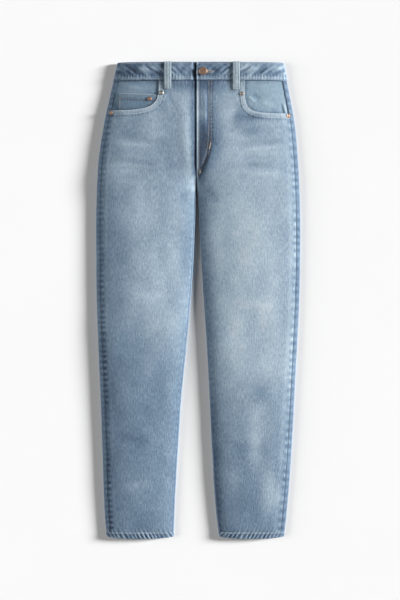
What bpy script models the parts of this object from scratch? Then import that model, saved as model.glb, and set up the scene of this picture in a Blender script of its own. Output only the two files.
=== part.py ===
"""Mom jeans laid flat, front up: five-pocket denim with a high waist and tapered legs.

The jeans lie in the XY plane with the waist at +Y, the floor at Z = 0 and the front facing +Z.
Left and right are the wearer's, so the right leg is at -X.
Sizes are in millimetres; "down" is the distance below the top of the waistband.
"""

import math

import bpy
import numpy as np

MM = 0.001

# Driving sizes
LENGTH = 1000.0
CLOTH = 1.2
SEAM_GAP = 0.4
LAYER_GAP = 0.45
CENTRE_X = -3.5
WAISTBAND_HEIGHT = 39.0
WAISTBAND_WALL = 2.6
WAISTBAND_PROUD = 0.8
HEM_HEIGHT = 14.0
HEM_WALL = 2.4
HEM_PROUD = 0.6
HEM_BOW = 4.0
CROTCH = 257.0
HIP_LINE = 205.0
HIP_GATHER = 402.0
OUTSEAM_INSET = 9.0
INSEAM_INSET = 3.0
SIDE_HEIGHT = 3.5
SIDE_ROUND = 4.5
EDGE_MARGIN = 1.0
UNDERLAP = 14.0
BAND_UNDERLAP = 34.0
YOKE_SIDE = 82.0
YOKE_CENTRE = 118.0
POCKET_EDGE_WIDTH = 10.0
SEAT_LIFT = 1.75
BAND_LIFT = 2.75

# The outline of the jeans: x of each edge and height of the front at rows below the waist
OUTLINE_COLUMNS = ("down", "right_outer", "right_inner", "left_inner", "left_outer", "crown")
OUTLINE = (
    (0.0, -169.0, -3.5, -3.5, 179.5, 19.0),
    (20.0, -173.8, -3.5, -3.5, 183.2, 19.5),
    (58.0, -182.4, -3.5, -3.5, 190.0, 20.5),
    (121.0, -196.6, -3.5, -3.5, 201.6, 22.5),
    (205.0, -209.3, -3.5, -3.5, 209.6, 23.0),
    (257.0, -212.6, -3.5, -3.5, 212.6, 21.5),
    (289.0, -213.8, -4.6, -0.4, 213.8, 20.0),
    (341.0, -214.6, -6.4, 1.9, 214.6, 19.0),
    (394.0, -214.7, -8.6, 4.9, 214.6, 18.5),
    (446.0, -214.4, -11.6, 8.2, 213.8, 18.0),
    (499.0, -213.5, -15.9, 11.4, 212.4, 18.0),
    (604.0, -209.6, -25.2, 18.6, 207.4, 18.5),
    (709.0, -205.2, -35.6, 23.8, 202.0, 17.5),
    (814.0, -201.4, -42.4, 28.6, 196.2, 16.0),
    (919.0, -198.0, -48.6, 35.2, 188.4, 14.5),
    (971.0, -194.8, -50.6, 40.4, 183.4, 13.5),
    (1000.0, -191.4, -51.8, 44.6, 179.6, 13.0),
)

# Soft folds of the front: ridges (positive) and troughs (negative) along a straight run
FOLD_COLUMNS = ("x_start", "down_start", "x_end", "down_end", "half_width", "height")
FOLDS = (
    (26.0, 176.0, 2.0, 240.0, 7.0, -1.5),
    (16.0, 60.0, 14.0, 170.0, 6.0, 0.8),
    (-28.0, 70.0, -24.0, 230.0, 16.0, 1.3),
    (-60.0, 214.0, -185.0, 190.0, 13.0, 1.0),
    (-70.0, 176.0, -190.0, 158.0, 11.0, -0.8),
    (60.0, 216.0, 190.0, 196.0, 13.0, 1.0),
    (70.0, 180.0, 192.0, 166.0, 11.0, -0.8),
    (-120.0, 320.0, -122.0, 560.0, 40.0, 1.2),
    (118.0, 300.0, 122.0, 560.0, 42.0, 1.4),
    (-60.0, 560.0, -170.0, 620.0, 18.0, -1.1),
    (40.0, 580.0, 160.0, 560.0, 18.0, -1.1),
    (-80.0, 700.0, -180.0, 740.0, 16.0, 0.9),
    (60.0, 720.0, 170.0, 690.0, 16.0, 0.9),
)

# Curved mouths of the front pockets: x of the inner end, down of the outer end, squareness of the curve
MOUTHS = {
    "right": {"inner_x": -82.4, "outer_down": 101.0, "squareness": 4.0},
    "left": {"inner_x": 97.3, "outer_down": 108.0, "squareness": 5.0},
}

# Rows of the legs, from the hem up to the hip line
LEG_ROWS = (
    985.5, 945.0, 895.0, 845.0, 795.0, 745.0, 695.0, 645.0, 595.0, 545.0, 495.0, 447.0,
    402.0, 362.0, 328.0, 302.0, 284.0, 270.0, 262.0, 257.0, 248.0, 236.0, 222.0, 212.0, 205.0,
)
SIDES = {"right": -1.0, "left": 1.0}

# Columns near a seam, as distances from it
FRONT_OUTER_STEPS = (0.0, 4.0, 9.0, 15.0)
FRONT_INNER_STEPS = (16.0, 8.5, 3.0, 0.0)
FRONT_MIDDLE = 15
BACK_OUTER_STEPS = (0.0, 3.5, 7.0, 10.4, 13.0, 15.7, 18.6, 25.0)
BACK_INNER_STEPS = (20.0, 12.6, 9.8, 7.0, 4.4, 2.2, 0.0)
BACK_MIDDLE = 8
SCOOP_COLUMNS = 13

COLOURS = {
    "denim_front": (0.30, 0.42, 0.55),
    "denim_back": (0.24, 0.35, 0.47),
    "denim_band": (0.19, 0.29, 0.41),
    "denim_facing": (0.16, 0.24, 0.34),
    "denim_loop": (0.36, 0.44, 0.48),
    "brass": (0.36, 0.24, 0.15),
    "steel": (0.55, 0.52, 0.47),
}


def ease(value):
    """0 below 0, 1 above 1 and a smooth S between."""
    clipped = np.clip(value, 0.0, 1.0)
    return clipped * clipped * (3.0 - 2.0 * clipped)


def outline(name, down):
    """One outline column at any down, on a smooth curve through the table's rows."""
    table = np.array(OUTLINE)
    downs = table[:, 0]
    values = table[:, OUTLINE_COLUMNS.index(name)]
    slopes = np.gradient(values, downs)
    down = float(np.clip(down, downs[0], downs[-1]))
    row = min(int(np.searchsorted(downs, down, side="right")) - 1, len(downs) - 2)
    step = downs[row + 1] - downs[row]
    t = (down - downs[row]) / step
    start = (1.0 + 2.0 * t) * (1.0 - t) ** 2 * values[row]
    start += t * (1.0 - t) ** 2 * step * slopes[row]
    end = t * t * (3.0 - 2.0 * t) * values[row + 1]
    end += t * t * (t - 1.0) * step * slopes[row + 1]
    return float(start + end)


def outer_edge(side, down):
    return outline(side + "_outer", down)


def inner_edge(side, down):
    """The inner leg edge, or the centre line above the crotch."""
    if down <= CROTCH:
        return CENTRE_X + SIDES[side] * 0.5 * SEAM_GAP
    return outline(side + "_inner", down) + SIDES[side] * 0.5 * SEAM_GAP


def lift(down):
    """Height of the back above the floor: it rests on loops, back pockets, legs and hems."""
    seat = SEAT_LIFT * ease((332.0 - down) / 44.0)
    band = (BAND_LIFT - SEAT_LIFT) * ease((76.0 - down) / 30.0)
    hem = HEM_PROUD * ease((down - 952.0) / 30.0)
    return float(seat + band + hem)


def fold_height(x, down):
    """Sum of the soft folds at a point of the front."""
    total = 0.0
    for row in FOLDS:
        fold = dict(zip(FOLD_COLUMNS, row))
        run_x = fold["x_end"] - fold["x_start"]
        run_down = fold["down_end"] - fold["down_start"]
        run = math.hypot(run_x, run_down)
        part = ((x - fold["x_start"]) * run_x + (down - fold["down_start"]) * run_down) / run**2
        across = ((x - fold["x_start"]) * run_down - (down - fold["down_start"]) * run_x) / run
        along = float(ease(part / 0.3)) * float(ease((1.0 - part) / 0.3))
        total += fold["height"] * along * math.exp(-((across / fold["half_width"]) ** 2))
    return total


def top_height(side, x, down):
    """Height of the front's outer face.

    Each leg is a flattened tube; above the crotch the two tubes melt into one crowned body.
    """
    outer = outer_edge(side, down) + SIDES[side] * EDGE_MARGIN
    inner = inner_edge(side, down) - SIDES[side] * EDGE_MARGIN
    across = (x - inner) / (outer - inner)
    leg = max(0.0, 1.0 - min(abs(2.0 * across - 1.0), 1.0) ** 2.5) ** 0.5
    hip = max(0.0, 1.0 - min(max(across, 0.0), 1.0) ** 3.4) ** 0.5
    melt = float(ease((CROTCH + 3.0 - down) / 55.0))
    crown = outline("crown", down) - SIDE_HEIGHT
    away = float(ease(min(across, 1.0 - across) / 0.08 + (melt if across < 0.5 else 0.0)))
    return SIDE_HEIGHT + crown * ((1.0 - melt) * leg + melt * hip) + away * fold_height(x, down)


def dip(side, x, down):
    """How far the right front drops to pass under the fly edge of the left front."""
    if side == "left":
        return 0.0
    depth = (CLOTH + LAYER_GAP) * float(ease((236.0 - down) / 22.0))
    return depth * float(ease((x - (CENTRE_X - 8.0)) / 6.5))


def front_height(side, x, down):
    return top_height(side, x, down) - dip(side, x, down)


def place(x, down, z):
    return (x, 0.5 * LENGTH - down, z)


def front_normal(side, x, down, height=front_height):
    """Upward normal of the front's outer face, from its slopes."""
    step = 0.4
    slope_x = (height(side, x + step, down) - height(side, x - step, down)) / (2.0 * step)
    slope_down = (height(side, x, down + step) - height(side, x, down - step)) / (2.0 * step)
    normal = np.array((-slope_x, slope_down, 1.0))
    return normal / np.linalg.norm(normal)


def outseam_x(side, down):
    return outer_edge(side, down) - SIDES[side] * OUTSEAM_INSET


def inseam_x(side, down):
    """The inseam lies just over the inner fold, and starts from the crotch point."""
    inset = INSEAM_INSET * float(ease((down - CROTCH) / 24.0))
    return inner_edge(side, down) + SIDES[side] * inset


def underlap(side, down):
    """How far a front's centre edge runs past the centre line."""
    if side == "left":
        return 0.0
    return UNDERLAP * float(ease((212.0 - down) / 16.0))


def front_inner_x(side, down):
    """The front's centre or inseam edge."""
    seam = inseam_x(side, down)
    if down > CROTCH:
        return seam + SIDES[side] * 0.5 * SEAM_GAP
    return seam - SIDES[side] * underlap(side, down)


def inner_steps(side, down):
    """Distances of the last columns from the centre edge, wider where the cloth runs under the fly."""
    share = underlap(side, down) / UNDERLAP
    widened = (16.0 + 13.5 * share, 8.5 + 14.0 * share, 3.0 + 12.5 * share, 0.0)
    return widened if share > 0.0 else FRONT_INNER_STEPS


def spread(length, first, last, middle):
    """Distances along a row: fixed steps at both ends and even ones between."""
    even = np.linspace(first[-1], length - last[0], middle + 1)[1:-1]
    return np.concatenate((np.array(first), even, length - np.array(last)))


def front_steps(side, down, length):
    """Distances of a front row's columns from the outseam; near the hip they gather under the pocket."""
    steps = spread(length, FRONT_OUTER_STEPS, inner_steps(side, down), FRONT_MIDDLE)
    first = len(FRONT_OUTER_STEPS) - 1
    last = len(steps) - len(FRONT_INNER_STEPS)
    knots = (first, SCOOP_COLUMNS - 4, SCOOP_COLUMNS, last)
    marks = (steps[first], 0.6 * length, 0.75 * length, steps[last])
    gathered = steps.copy()
    gathered[first:last + 1] = np.interp(np.arange(first, last + 1), knots, marks)
    share = float(ease((HIP_GATHER - down) / (HIP_GATHER - HIP_LINE)))
    return steps + share * (gathered - steps)


def even_points(points, count, last_step=None):
    """The same curve with points at even distances, or with a longer last step."""
    points = np.array(points)
    lengths = np.concatenate(([0.0], np.cumsum(np.linalg.norm(np.diff(points, axis=0), axis=1))))
    wanted = np.linspace(0.0, lengths[-1], count)
    if last_step:
        wanted[:-1] = np.linspace(0.0, lengths[-1] - last_step, count - 1)
    return np.stack([np.interp(wanted, lengths, points[:, axis]) for axis in range(2)], axis=1)


def mouth_curve(side, inset=0.0, count=SCOOP_COLUMNS + 1, from_down=WAISTBAND_HEIGHT, last_step=None):
    """The pocket mouth as x and down, from the outseam to the waistband; inset shrinks the opening."""
    mouth = MOUTHS[side]
    start_x = outseam_x(side, mouth["outer_down"]) - SIDES[side] * 0.5 * SEAM_GAP
    reach = abs(mouth["inner_x"] - start_x) - inset
    depth = mouth["outer_down"] - WAISTBAND_HEIGHT - inset
    power = 2.0 / mouth["squareness"]
    points = []
    for angle in np.linspace(0.0, 0.5 * math.pi, 120):
        x = start_x - SIDES[side] * reach * math.sin(angle) ** power
        down = WAISTBAND_HEIGHT + depth * max(0.0, math.cos(angle)) ** power
        if down >= from_down:
            points.append((x, down))
    return even_points(points, count, last_step)


def front_rows(side):
    """Rows of the front panel as x and down, from the hem to the waistband and pocket mouth."""
    rows = []
    for down in LEG_ROWS:
        start = outseam_x(side, down) - SIDES[side] * 0.5 * SEAM_GAP
        end = front_inner_x(side, down)
        steps = front_steps(side, down, abs(end - start))
        rows.append(np.stack((start - SIDES[side] * steps, np.full(len(steps), down)), axis=1))
    count = len(rows[0])
    top_down = WAISTBAND_HEIGHT + SEAM_GAP
    scoop = mouth_curve(side, last_step=2.0 * POCKET_EDGE_WIDTH)
    scoop[-1, 1] = top_down
    end = front_inner_x(side, top_down)
    special = np.array(inner_steps(side, top_down))
    width = abs(end - scoop[-1, 0])
    plain = np.linspace(0.0, width - special[0], count - len(scoop) - len(special) + 2)[1:]
    waist_steps = np.concatenate((plain, width - special[1:]))
    waist = np.stack(
        (scoop[-1, 0] - SIDES[side] * waist_steps, np.full(len(waist_steps), top_down)), axis=1
    )
    top = np.concatenate((scoop, waist))
    band = top.copy()
    band[len(scoop):, 1] += POCKET_EDGE_WIDTH
    tangent = np.gradient(scoop, axis=0)
    tangent /= np.linalg.norm(tangent, axis=1)[:, None]
    outward = np.stack((tangent[:, 1], -tangent[:, 0]), axis=1) * SIDES[side]
    band[: len(scoop)] += POCKET_EDGE_WIDTH * outward
    corner = len(scoop) - 1
    band[corner] = scoop[-1] + POCKET_EDGE_WIDTH * np.array((-SIDES[side], 1.0))
    fixed = top[-len(special), 0]
    squeeze = (fixed - band[corner, 0]) / (fixed - top[corner, 0])
    plain_band = band[corner + 1: -len(special), 0]
    plain_band[:] = fixed - squeeze * (fixed - plain_band)
    band[0] = (outseam_x(side, band[0, 1]) - SIDES[side] * 0.5 * SEAM_GAP, band[0, 1])
    hip = rows[-1]
    for share in (0.25, 0.5, 0.75, 1.0):
        row = hip + share * (band - hip)
        row[0, 0] = outseam_x(side, row[0, 1]) - SIDES[side] * 0.5 * SEAM_GAP
        row[-1, 0] = front_inner_x(side, row[-1, 1])
        rows.append(row)
    rows.append(top)
    return rows


def front_grid(side):
    """Outer points and normals of a front panel."""
    points = []
    normals = []
    for row in front_rows(side):
        points.append([place(x, down, front_height(side, x, down)) for x, down in row])
        normals.append([front_normal(side, x, down) for x, down in row])
    return np.array(points), np.array(normals)


def section(side, down):
    """Outer face of the back at one down, as x and z, from the outseam to the inseam or centre."""
    sign = SIDES[side]
    outer = outer_edge(side, down)
    inner = inner_edge(side, down)
    floor = lift(down)
    points = []
    for share in np.linspace(0.0, 1.0, 16):
        x = outer - sign * OUTSEAM_INSET * (1.0 - share) ** 2
        points.append((x, top_height(side, x, down)))
    side_height = points[-1][1] - floor
    for angle in np.linspace(0.5 * math.pi, 0.0, 12)[1:]:
        x = outer - sign * SIDE_ROUND * (1.0 - math.sin(angle))
        points.append((x, floor + side_height * (1.0 - math.cos(angle))))
    rise = float(ease((down - (CROTCH - 32.0)) / 32.0))
    inner_height = (top_height(side, inner, down) - floor) if down >= CROTCH else 0.0
    if rise > 0.0 and down < CROTCH:
        inner_height = rise * (top_height(side, inner, CROTCH) - floor)
    for angle in np.linspace(0.0, 0.5 * math.pi, 12):
        x = inner + sign * SIDE_ROUND * (1.0 - math.sin(angle))
        points.append((x, floor + inner_height * (1.0 - math.cos(angle))))
    end = inseam_x(side, down)
    if abs(end - inner) > 0.01:
        for share in np.linspace(0.0, 1.0, 8)[1:]:
            x = inner + (end - inner) * share**2
            points.append((x, top_height(side, x, down)))
    return np.array(points)


def section_point(side, down, step, total):
    """The point at one of the back's columns; step counts columns and total is the last one."""
    points = section(side, down)
    lengths = np.concatenate(([0.0], np.cumsum(np.linalg.norm(np.diff(points, axis=0), axis=1))))
    half_gap = 0.5 * SEAM_GAP
    steps = spread(lengths[-1] - SEAM_GAP, BACK_OUTER_STEPS, BACK_INNER_STEPS, BACK_MIDDLE) + half_gap
    if step == total and down < CROTCH:
        steps[-1] = lengths[-1]
    x = np.interp(steps[step], lengths, points[:, 0])
    z = np.interp(steps[step], lengths, points[:, 1])
    return place(float(x), down, float(z))


def back_grid(side, rows):
    """Outer points and normals of a back piece; each row runs from an outer down to an inner down."""
    total = len(BACK_OUTER_STEPS) + len(BACK_INNER_STEPS) + BACK_MIDDLE - 2
    points = []
    for outer_down, inner_down in rows:
        shares = np.linspace(0.0, 1.0, total + 1)
        downs = outer_down + (inner_down - outer_down) * ease((shares - 0.25) / 0.6)
        points.append([section_point(side, float(downs[i]), i, total) for i in range(total + 1)])
    points = np.array(points)
    normals = grid_normals(points)
    if normals[0, total // 2, 2] > 0.0:
        normals = -normals
    for index, (outer_down, inner_down) in enumerate(rows):
        normals[index, 0] = front_normal(side, outseam_x(side, outer_down), outer_down, top_height)
        if inner_down >= CROTCH:
            normals[index, -1] = front_normal(side, inseam_x(side, inner_down), inner_down, top_height)
    return points, normals


def back_rows():
    """Rows of the back panel; its outer ends match the front's rows along the outseam."""
    return [(down, down) for down in LEG_ROWS]


def seat_rows(side):
    """Rows of the back panel above the hip line, closing in on the slanted yoke seam."""
    mouth_end = MOUTHS[side]["outer_down"]
    band_end = mouth_end + POCKET_EDGE_WIDTH
    outers = [HIP_LINE + share * (band_end - HIP_LINE) for share in (0.25, 0.5, 0.75, 1.0)]
    outers += [mouth_end, YOKE_SIDE + 0.5 * SEAM_GAP]
    rows = []
    for outer_down in outers:
        share = (HIP_LINE - outer_down) / (HIP_LINE - outers[-1])
        rows.append((outer_down, HIP_LINE + share * (YOKE_CENTRE + 0.5 * SEAM_GAP - HIP_LINE)))
    return rows


def yoke_rows():
    """Rows of the yoke, from the slanted yoke seam to the waistband."""
    top = WAISTBAND_HEIGHT + SEAM_GAP
    rows = []
    for share in (0.0, 0.35, 0.7, 1.0):
        side_down = YOKE_SIDE - 0.5 * SEAM_GAP + share * (top - YOKE_SIDE + 0.5 * SEAM_GAP)
        centre_down = YOKE_CENTRE - 0.5 * SEAM_GAP + share * (top - YOKE_CENTRE + 0.5 * SEAM_GAP)
        rows.append((side_down, centre_down))
    return rows


def grid_normals(points, closed=False):
    """Unit normals of a grid of points, from its central differences."""
    if closed:
        along = np.roll(points, -1, axis=1) - np.roll(points, 1, axis=1)
    else:
        along = np.gradient(points, axis=1)
    across = np.gradient(points, axis=0)
    normals = np.cross(along, across)
    return normals / np.linalg.norm(normals, axis=2)[:, :, None]


def mesh_object(name, vertices, faces, colour):
    """A mesh object with its own material, its faces turned outwards."""
    vertices = np.array(vertices)
    volume = 0.0
    for face in faces:
        first = vertices[face[0]]
        for a, b in zip(face[1:-1], face[2:]):
            volume += np.dot(first, np.cross(vertices[a], vertices[b]))
    if volume < 0.0:
        faces = [tuple(reversed(face)) for face in faces]
    mesh = bpy.data.meshes.new(name)
    mesh.from_pydata([tuple(v) for v in vertices * MM], [], faces)
    mesh.update()
    mesh.shade_smooth()
    mesh.set_sharp_from_angle(angle=math.radians(40.0))
    mesh.materials.append(material(name, colour))
    created = bpy.data.objects.new(name, mesh)
    bpy.context.scene.collection.objects.link(created)
    return created


def material(name, colour):
    """A plain finish: cloth is rough, and the button and rivets are metal."""
    metal = colour in ("brass", "steel")
    made = bpy.data.materials.new(name)
    made.use_nodes = True
    shader = made.node_tree.nodes["Principled BSDF"]
    shader.inputs["Base Color"].default_value = (*COLOURS[colour], 1.0)
    shader.inputs["Roughness"].default_value = 0.38 if metal else 0.9
    shader.inputs["Metallic"].default_value = 1.0 if metal else 0.0
    return made


def wall(name, points, normals, thickness, colour):
    """A cloth wall: the outer points, the same points moved in along the normals, and its four edges."""
    rows, columns = points.shape[:2]
    outer = points.reshape(-1, 3)
    inner = (points - thickness * normals).reshape(-1, 3)
    size = rows * columns
    faces = []
    for r in range(rows - 1):
        for c in range(columns - 1):
            a = r * columns + c
            b = a + columns
            faces.append((a, a + 1, b + 1, b))
            faces.append((size + a, size + b, size + b + 1, size + a + 1))
    for c in range(columns - 1):
        first = c
        last = (rows - 1) * columns + c
        faces.append((first, size + first, size + first + 1, first + 1))
        faces.append((last, last + 1, size + last + 1, size + last))
    for r in range(rows - 1):
        left = r * columns
        right = left + columns - 1
        faces.append((left, left + columns, size + left + columns, size + left))
        faces.append((right, size + right, size + right + columns, right + columns))
    return mesh_object(name, np.concatenate((outer, inner)), faces, colour)


def tube_wall(name, points, normals, thickness, colour):
    """A closed band of cloth: like a wall, joined round into a tube."""
    rows, columns = points.shape[:2]
    outer = points.reshape(-1, 3)
    inner = (points - thickness * normals).reshape(-1, 3)
    size = rows * columns
    faces = []
    for c in range(columns):
        d = (c + 1) % columns
        for r in range(rows - 1):
            a = r * columns
            b = a + columns
            faces.append((a + c, a + d, b + d, b + c))
            faces.append((size + a + c, size + b + c, size + b + d, size + a + d))
        last = (rows - 1) * columns
        faces.append((c, size + c, size + d, d))
        faces.append((last + c, last + d, size + last + d, size + last + c))
    return mesh_object(name, np.concatenate((outer, inner)), faces, colour)


def shifted(points, distance):
    """A curve in x and z moved sideways by a distance, to its left."""
    tangent = np.gradient(points, axis=0)
    tangent /= np.linalg.norm(tangent, axis=1)[:, None]
    return points + distance * np.stack((-tangent[:, 1], tangent[:, 0]), axis=1)


def make_fronts():
    for side in SIDES:
        points, normals = front_grid(side)
        wall("front_" + side, points, normals, CLOTH, "denim_front")


def make_backs():
    for side in SIDES:
        points, normals = back_grid(side, back_rows() + seat_rows(side))
        wall("back_" + side, points, normals, CLOTH, "denim_back")
        points, normals = back_grid(side, yoke_rows())
        wall("yoke_" + side, points, normals, CLOTH, "denim_back")


def band_path(down):
    """The waistband's face at one down: from its under end over the right side, back and left side."""
    right_outer = outer_edge("right", down)
    left_outer = outer_edge("left", down)
    floor = lift(down)
    under_drop = WAISTBAND_WALL + LAYER_GAP
    points = []
    start = CENTRE_X + BAND_UNDERLAP
    for x in np.linspace(start, right_outer + 16.0, 60):
        side = "right" if x < CENTRE_X else "left"
        drop = under_drop * float(ease((x - (CENTRE_X - 13.0)) / 12.0))
        points.append((x, top_height(side, x, down) - drop))
    for share in np.linspace(0.0, 1.0, 16)[1:]:
        x = right_outer + 16.0 * (1.0 - share) ** 2
        points.append((x, top_height("right", x, down)))
    height = points[-1][1] - floor
    for angle in np.linspace(0.5 * math.pi, 0.0, 12)[1:]:
        x = right_outer + SIDE_ROUND * (1.0 - math.sin(angle))
        points.append((x, floor + height * (1.0 - math.cos(angle))))
    height = top_height("left", left_outer, down) - floor
    for angle in np.linspace(0.0, 0.5 * math.pi, 12):
        x = left_outer - SIDE_ROUND * (1.0 - math.sin(angle))
        points.append((x, floor + height * (1.0 - math.cos(angle))))
    for share in np.linspace(0.0, 1.0, 16)[1:]:
        x = left_outer - 16.0 * share**2
        points.append((x, top_height("left", x, down)))
    for x in np.linspace(left_outer - 16.0, CENTRE_X, 40)[1:]:
        points.append((x, top_height("left", x, down)))
    return np.array(points)


def band_stations(points):
    """Distances along the waistband: close together at its folded sides, wide elsewhere."""
    lengths = np.concatenate(([0.0], np.cumsum(np.linalg.norm(np.diff(points, axis=0), axis=1))))
    right_fold = lengths[int(np.argmin(points[:, 0]))]
    left_fold = lengths[int(np.argmax(points[:, 0]))]
    fold_steps = np.array((-13.0, -8.0, -4.0, -1.2, 1.4, 3.6, 6.2, 10.0))
    chosen = [np.array((0.0, 12.0, 24.0, 33.0, 37.0, 41.0, 46.5))]
    chosen.append(np.linspace(60.0, right_fold - 26.0, 7))
    chosen.append(right_fold + fold_steps)
    chosen.append(np.linspace(right_fold + 30.0, left_fold - 30.0, 11))
    chosen.append(left_fold - fold_steps[::-1])
    chosen.append(np.linspace(left_fold + 26.0, lengths[-1], 9))
    return lengths, np.concatenate(chosen)


def make_waistband():
    rows = []
    for down in (0.0, 9.0, 19.0, 29.0, WAISTBAND_HEIGHT):
        path = band_path(down)
        lengths, wanted = band_stations(path)
        x = np.interp(wanted, lengths, path[:, 0])
        z = np.interp(wanted, lengths, path[:, 1])
        proud = shifted(np.stack((x, z), axis=1), -WAISTBAND_PROUD)
        rows.append([place(px, down, pz) for px, pz in proud])
    points = np.array(rows)
    normals = grid_normals(points)
    if normals[0, 12, 2] < 0.0:
        normals = -normals
    wall("waistband", points, normals, WAISTBAND_WALL, "denim_band")


def hem_path(side, down):
    """The whole leg tube at one down, closed, as x and z."""
    back = section(side, down)
    start = outseam_x(side, down)
    end = inseam_x(side, down)
    front = [(x, top_height(side, x, down)) for x in np.linspace(end, start, 40)[1:-1]]
    return np.concatenate((back, np.array(front)))


def make_hems():
    fold_steps = np.array((-12.0, -7.0, -3.5, -1.0, 1.4, 3.6, 6.2, 10.0))
    for side, sign in SIDES.items():
        rows = []
        top_down = LENGTH - HEM_HEIGHT
        for share in (0.0, 0.35, 0.7, 1.0):
            down = top_down + share * HEM_HEIGHT
            path = hem_path(side, down)
            closed = np.concatenate((path, path[:1]))
            steps = np.linalg.norm(np.diff(closed, axis=0), axis=1)
            lengths = np.concatenate(([0.0], np.cumsum(steps)))
            outer_fold = lengths[int(np.argmax(sign * path[:, 0]))]
            inner_fold = lengths[int(np.argmin(sign * path[:, 0]))]
            wanted = np.concatenate((
                outer_fold + fold_steps,
                np.linspace(outer_fold + 22.0, inner_fold - 22.0, 5),
                inner_fold - fold_steps[::-1],
                np.linspace(inner_fold + 24.0, lengths[-1] + outer_fold - 24.0, 9),
            )) % lengths[-1]
            x = np.interp(wanted, lengths, closed[:, 0])
            z = np.interp(wanted, lengths, closed[:, 1])
            ring = np.stack((x, z), axis=1)
            tangent = np.roll(ring, -1, axis=0) - np.roll(ring, 1, axis=0)
            tangent /= np.linalg.norm(tangent, axis=1)[:, None]
            away = np.stack((tangent[:, 1], -tangent[:, 0]), axis=1) * -sign
            ring = ring + HEM_PROUD * away
            across = (ring[:, 0] - inner_edge(side, down)) / (
                outer_edge(side, down) - inner_edge(side, down)
            )
            bow = HEM_BOW * share * np.clip(np.abs(2.0 * across - 1.0), 0.0, 1.0) ** 3
            rows.append([place(p[0], down - b, p[1]) for p, b in zip(ring, bow)])
        points = np.array(rows)
        normals = grid_normals(points, closed=True)
        if np.sum(normals[0, :, 2] * (points[0, :, 2] - 6.0)) < 0.0:
            normals = -normals
        tube_wall("hem_" + side, points, normals, HEM_WALL, "denim_band")


def patch(name, rows, side, below, thickness, colour):
    """A patch on the front: each row is x and down; below is its depth under the front's outer face."""
    points = []
    normals = []
    for row in rows:
        base = [place(x, down, top_height(side, x, down)) for x, down in row]
        facing = [front_normal(side, x, down, top_height) for x, down in row]
        points.append(np.array(base) - below * np.array(facing))
        normals.append(facing)
    wall(name, np.array(points), np.array(normals), thickness, colour)


def make_facings():
    for side, sign in SIDES.items():
        mouth = MOUTHS[side]
        top_down = WAISTBAND_HEIGHT + SEAM_GAP
        low_down = mouth["outer_down"] + 12.0
        rows = []
        for down in np.linspace(top_down, low_down, 8):
            start = outer_edge(side, down) - sign * 6.0
            end = mouth["inner_x"] - sign * 12.0
            steps = spread(abs(end - start), (0.0, 3.0, 7.0, 13.0), (12.0, 0.0), 6)
            rows.append([(start - sign * step, down) for step in steps])
        patch("pocket_facing_" + side, rows, side, CLOTH + 0.55, CLOTH, "denim_facing")


def make_coin_pocket():
    """The small pocket on the right facing, cut off along the mouth of the big one."""
    top_left = np.array((-165.8, 64.5))
    top_right = np.array((-86.0, 69.8))
    curve = mouth_curve("right", inset=2.0, count=60, from_down=top_right[1])
    inside = curve[curve[:, 0] >= top_left[0]]
    bottom = even_points(inside, 9)
    bottom[0, 0] = top_left[0]
    top = np.linspace(top_left, bottom[-1] + np.array((-0.6, -1.0)), 9)
    rows = [top + share * (bottom - top) for share in (0.0, 0.3, 0.65, 1.0)]
    rows[-1][-1] += np.array((0.0, 2.5))
    rows[-2][-1] += np.array((0.0, 1.6))
    rows[-3][-1] += np.array((0.0, 0.8))
    patch("coin_pocket", rows, "right", 0.35, 1.0, "denim_facing")


def flat_piece(name, outline_points, low, high, colour):
    """A flat piece of cloth: an outline in x and down, between two heights."""
    count = len(outline_points)
    vertices = [place(x, down, low) for x, down in outline_points]
    vertices += [place(x, down, high) for x, down in outline_points]
    faces = [tuple(range(count)), tuple(range(2 * count - 1, count - 1, -1))]
    for i in range(count):
        j = (i + 1) % count
        faces.append((i, count + i, count + j, j))
    return mesh_object(name, vertices, faces, colour)


def make_back_pockets():
    """Five-sided patch pockets under the seat, which they hold off the floor."""
    width = 142.0
    height = 152.0
    from_centre = 34.0
    top_down = 142.0
    for side, sign in SIDES.items():
        inner = CENTRE_X + sign * from_centre
        outer = inner + sign * width
        taper = sign * 9.0
        shape = (
            (inner, top_down + 4.0),
            (outer, top_down - 4.0),
            (outer - taper, top_down + 0.78 * height),
            (0.5 * (inner + outer), top_down + height),
            (inner + taper, top_down + 0.8 * height),
        )
        flat_piece("back_pocket_" + side, shape, 0.0, SEAT_LIFT - 0.35, "denim_back")


def make_belt_loops():
    """Two loops over the front of the waistband and three under its back."""
    width = 14.6
    wall_height = 1.5
    for side, centre, drop in (("right", -63.9, 18.0), ("left", 79.7, 20.0)):
        end = WAISTBAND_HEIGHT + drop
        rows = []
        normals = []
        for down in (-0.6, 6.0, 14.0, 22.0, 30.0, WAISTBAND_HEIGHT, 46.0, end):
            clear = LAYER_GAP + WAISTBAND_PROUD * float(ease((end - 2.0 - down) / 14.0))
            bow = 1.3 * math.sin(math.pi * min(max(down / (WAISTBAND_HEIGHT + 6.0), 0.0), 1.0))
            row = []
            facing = []
            for x in np.linspace(centre - 0.5 * width, centre + 0.5 * width, 4):
                normal = front_normal(side, x, max(down, 1.0), top_height)
                base = np.array(place(x, down, top_height(side, x, down)))
                row.append(base + (clear + bow + wall_height) * normal)
                facing.append(normal)
            rows.append(row)
            normals.append(facing)
        wall("belt_loop_front_" + side, np.array(rows), np.array(normals), wall_height, "denim_loop")
    for name, centre in (("right", -112.0), ("centre", CENTRE_X), ("left", 108.0)):
        left = centre - 0.5 * width
        right = centre + 0.5 * width
        shape = ((left, 0.0), (right, 0.0), (right, 57.0), (left, 57.0))
        flat_piece("belt_loop_back_" + name, shape, 0.0, wall_height, "denim_loop")


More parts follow.
